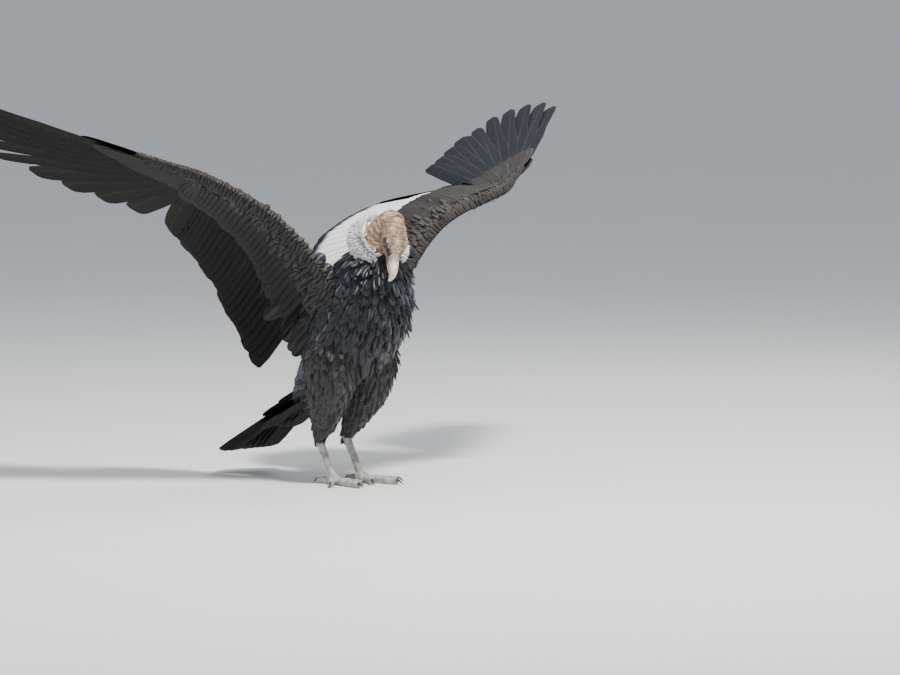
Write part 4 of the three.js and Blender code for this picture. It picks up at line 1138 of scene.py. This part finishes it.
def leg_finish():
    finish = Finish("scaly_leg_skin", Roughness=0.6)
    scales = finish.cells(260.0, "DISTANCE_TO_EDGE", (1.0, 1.0, 0.8))
    dirt = finish.grain(60.0, 4.0)
    colour = finish.mix(finish.step(dirt, 0.35, 0.7), (0.33, 0.31, 0.29), (0.62, 0.60, 0.56))
    colour = finish.mix(finish.step(scales, 0.0, 0.09, 0.75, 0.0), colour, (0.12, 0.11, 0.10))
    return finish.done(Base_Color=colour, Roughness=finish.step(dirt, 0.2, 0.8, 0.5, 0.7),
                       Normal=finish.bump(finish.step(scales, 0.0, 0.12), 0.7, 0.0012))


def claw_finish():
    finish = Finish("claw_dark_horn", Coat_Weight=0.2)
    lines = finish.grain(90.0, 4.0, None, (1.0, 1.0, 4.0))
    return finish.done(Base_Color=finish.mix(lines, (0.018, 0.015, 0.013), (0.075, 0.06, 0.05)),
                       Roughness=finish.step(lines, 0.2, 0.8, 0.28, 0.5),
                       Normal=finish.bump(lines, 0.3, 0.0006))


leg_material, claw_material = leg_finish(), claw_finish()
for name, leg in LEGS.items():
    ankle, foot = np.array(leg["ankle"], float), np.array(leg["sole"], float) + [0, 0, 15]
    shares = [(-0.12, 9, 10, 10), (0, 12.5, 13.5, 13.5), (0.12, 10.5, 12, 12), (0.5, 8.8, 10.5, 10),
              (0.85, 9.6, 11, 10.5), (1.02, 11, 11.5, 11.5)]
    shank = [(*(ankle + (foot - ankle) * f), *reach) for f, *reach in shares]
    scuted = lambda t, turn: 0.45 * np.abs(np.sin(np.pi * t * 110 / SCUTE / 1.6)) * (np.sin(turn) < 0.2)
    forms = [swelling(shank, 110, 28, fold=scuted)]
    for toe in TOES:
        rows, way, end, total = toe_rows(toe)
        ridges = lambda t, turn, scutes=total / SCUTE: (
            0.6 * np.abs(np.sin(np.pi * t * scutes)) * (np.sin(turn) > 0.1))
        forms.append(shown(swelling(rows, 90, 24, across=(way[1], -way[0], 0), fold=ridges), leg))
        claw = []
        for t in np.linspace(0, 1, 5):
            spot = end + way * (-5 + toe["claw"] * (t * 1.02 - 0.12 * t * t))
            rise = 9.2 + 4.5 * math.sin(math.pi * min(t * 1.25, 1)) * 0.6 - 7.2 * t**2.2
            size = 5.6 + (0.9 - 5.6) * t**0.85
            claw.append((spot[0], spot[1], rise, size * 0.82, size, size * 0.85))
        horn = shown(swelling(claw, 26, 18, across=(way[1], -way[0], 0)), leg)
        claw_name = f"claw_{name}_{toe['name']}"
        piece(claw_name + "_horn", *horn, claw_material, (claw_name,), "claw_horn")
    forms.append(shown(swelling(PAD, 24, 28), leg))
    leg_skin = one_skin(f"leg_{name}_skin", forms, 1.25, 2)
    spots = points_of(leg_skin)
    spots[:, 2] = np.maximum(spots[:, 2], 0.0)
    move_points(leg_skin, spots)
    placed(f"leg_{name}_skin", leg_skin, leg_material, (f"shank_{name}", f"foot_{name}"))


# The studio: a pale floor that reaches far off as a plain backdrop, soft lights, and the camera on the line
# that the photograph was taken from, far off with a long lens.
FEET_PIXEL, FRAME_PIXELS, PIXELS_PER_M = (350, 483), (900, 675), 380.0
CAMERA_AZIMUTH, CAMERA_HEIGHT, CAMERA_FAR = math.radians(-40), math.radians(4), 14.0
right = np.array([math.cos(CAMERA_AZIMUTH), math.sin(CAMERA_AZIMUTH), 0])
towards = np.array([math.sin(CAMERA_AZIMUTH) * math.cos(CAMERA_HEIGHT),
                    -math.cos(CAMERA_AZIMUTH) * math.cos(CAMERA_HEIGHT), math.sin(CAMERA_HEIGHT)])
above = np.cross(towards, right)
aim = (ZERO + right * (FRAME_PIXELS[0] / 2 - FEET_PIXEL[0]) / PIXELS_PER_M
       + above * (FEET_PIXEL[1] - FRAME_PIXELS[1] / 2) / PIXELS_PER_M)

camera_data = bpy.data.cameras.new("camera")
camera_data.sensor_width = 36
camera_data.lens = 36 * CAMERA_FAR / (FRAME_PIXELS[0] / PIXELS_PER_M)
camera_data.clip_end = 1500
camera = bpy.data.objects.new("camera", camera_data)
camera.location = aim + towards * CAMERA_FAR
camera.rotation_euler = Vector(-towards).to_track_quat("-Z", "Y").to_euler()
bpy.context.scene.collection.objects.link(camera)
bpy.context.scene.camera = camera


def light(name, place, size, power, colour):
    lamp = bpy.data.lights.new(name, "AREA")
    lamp.size, lamp.energy, lamp.color = size, power, colour
    thing = bpy.data.objects.new(name, lamp)
    thing.location = place
    thing.rotation_euler = (Vector((0, 0, 0.6)) - thing.location).to_track_quat("-Z", "Y").to_euler()
    bpy.context.scene.collection.objects.link(thing)


light("key", Vector((-0.6, -2.8, 5.2)), 0.9, 570, (1.0, 0.97, 0.93))
light("fill", Vector((-4.5, -3.5, 2.0)), 3.5, 40, (0.9, 0.95, 1.0))
light("rim", Vector((3.4, 1.2, 4.2)), 2.0, 90, (1.0, 1.0, 1.0))

world = bpy.data.worlds.new("studio")
world.use_nodes = True
world.node_tree.nodes["Background"].inputs["Color"].default_value = (0.80, 0.86, 0.93, 1)
world.node_tree.nodes["Background"].inputs["Strength"].default_value = 0.62
bpy.context.scene.world = world

floor_mesh = bpy.data.meshes.new("floor")
FLOOR_REACH, FLOOR_DROP = 400.0, -0.0005  # metres
floor_sides = (-FLOOR_REACH, FLOOR_REACH)
floor_mesh.from_pydata([(x, y, FLOOR_DROP) for x in floor_sides for y in floor_sides], [], [(0, 2, 3, 1)])
floor = bpy.data.objects.new("floor", floor_mesh)
bpy.context.scene.collection.objects.link(floor)
floor_finish = Finish("pale_floor", Roughness=0.8)
floor_mesh.materials.append(floor_finish.done(
    Base_Color=floor_finish.mix(floor_finish.grain(3.0), (0.74, 0.74, 0.73), (0.79, 0.79, 0.78))))
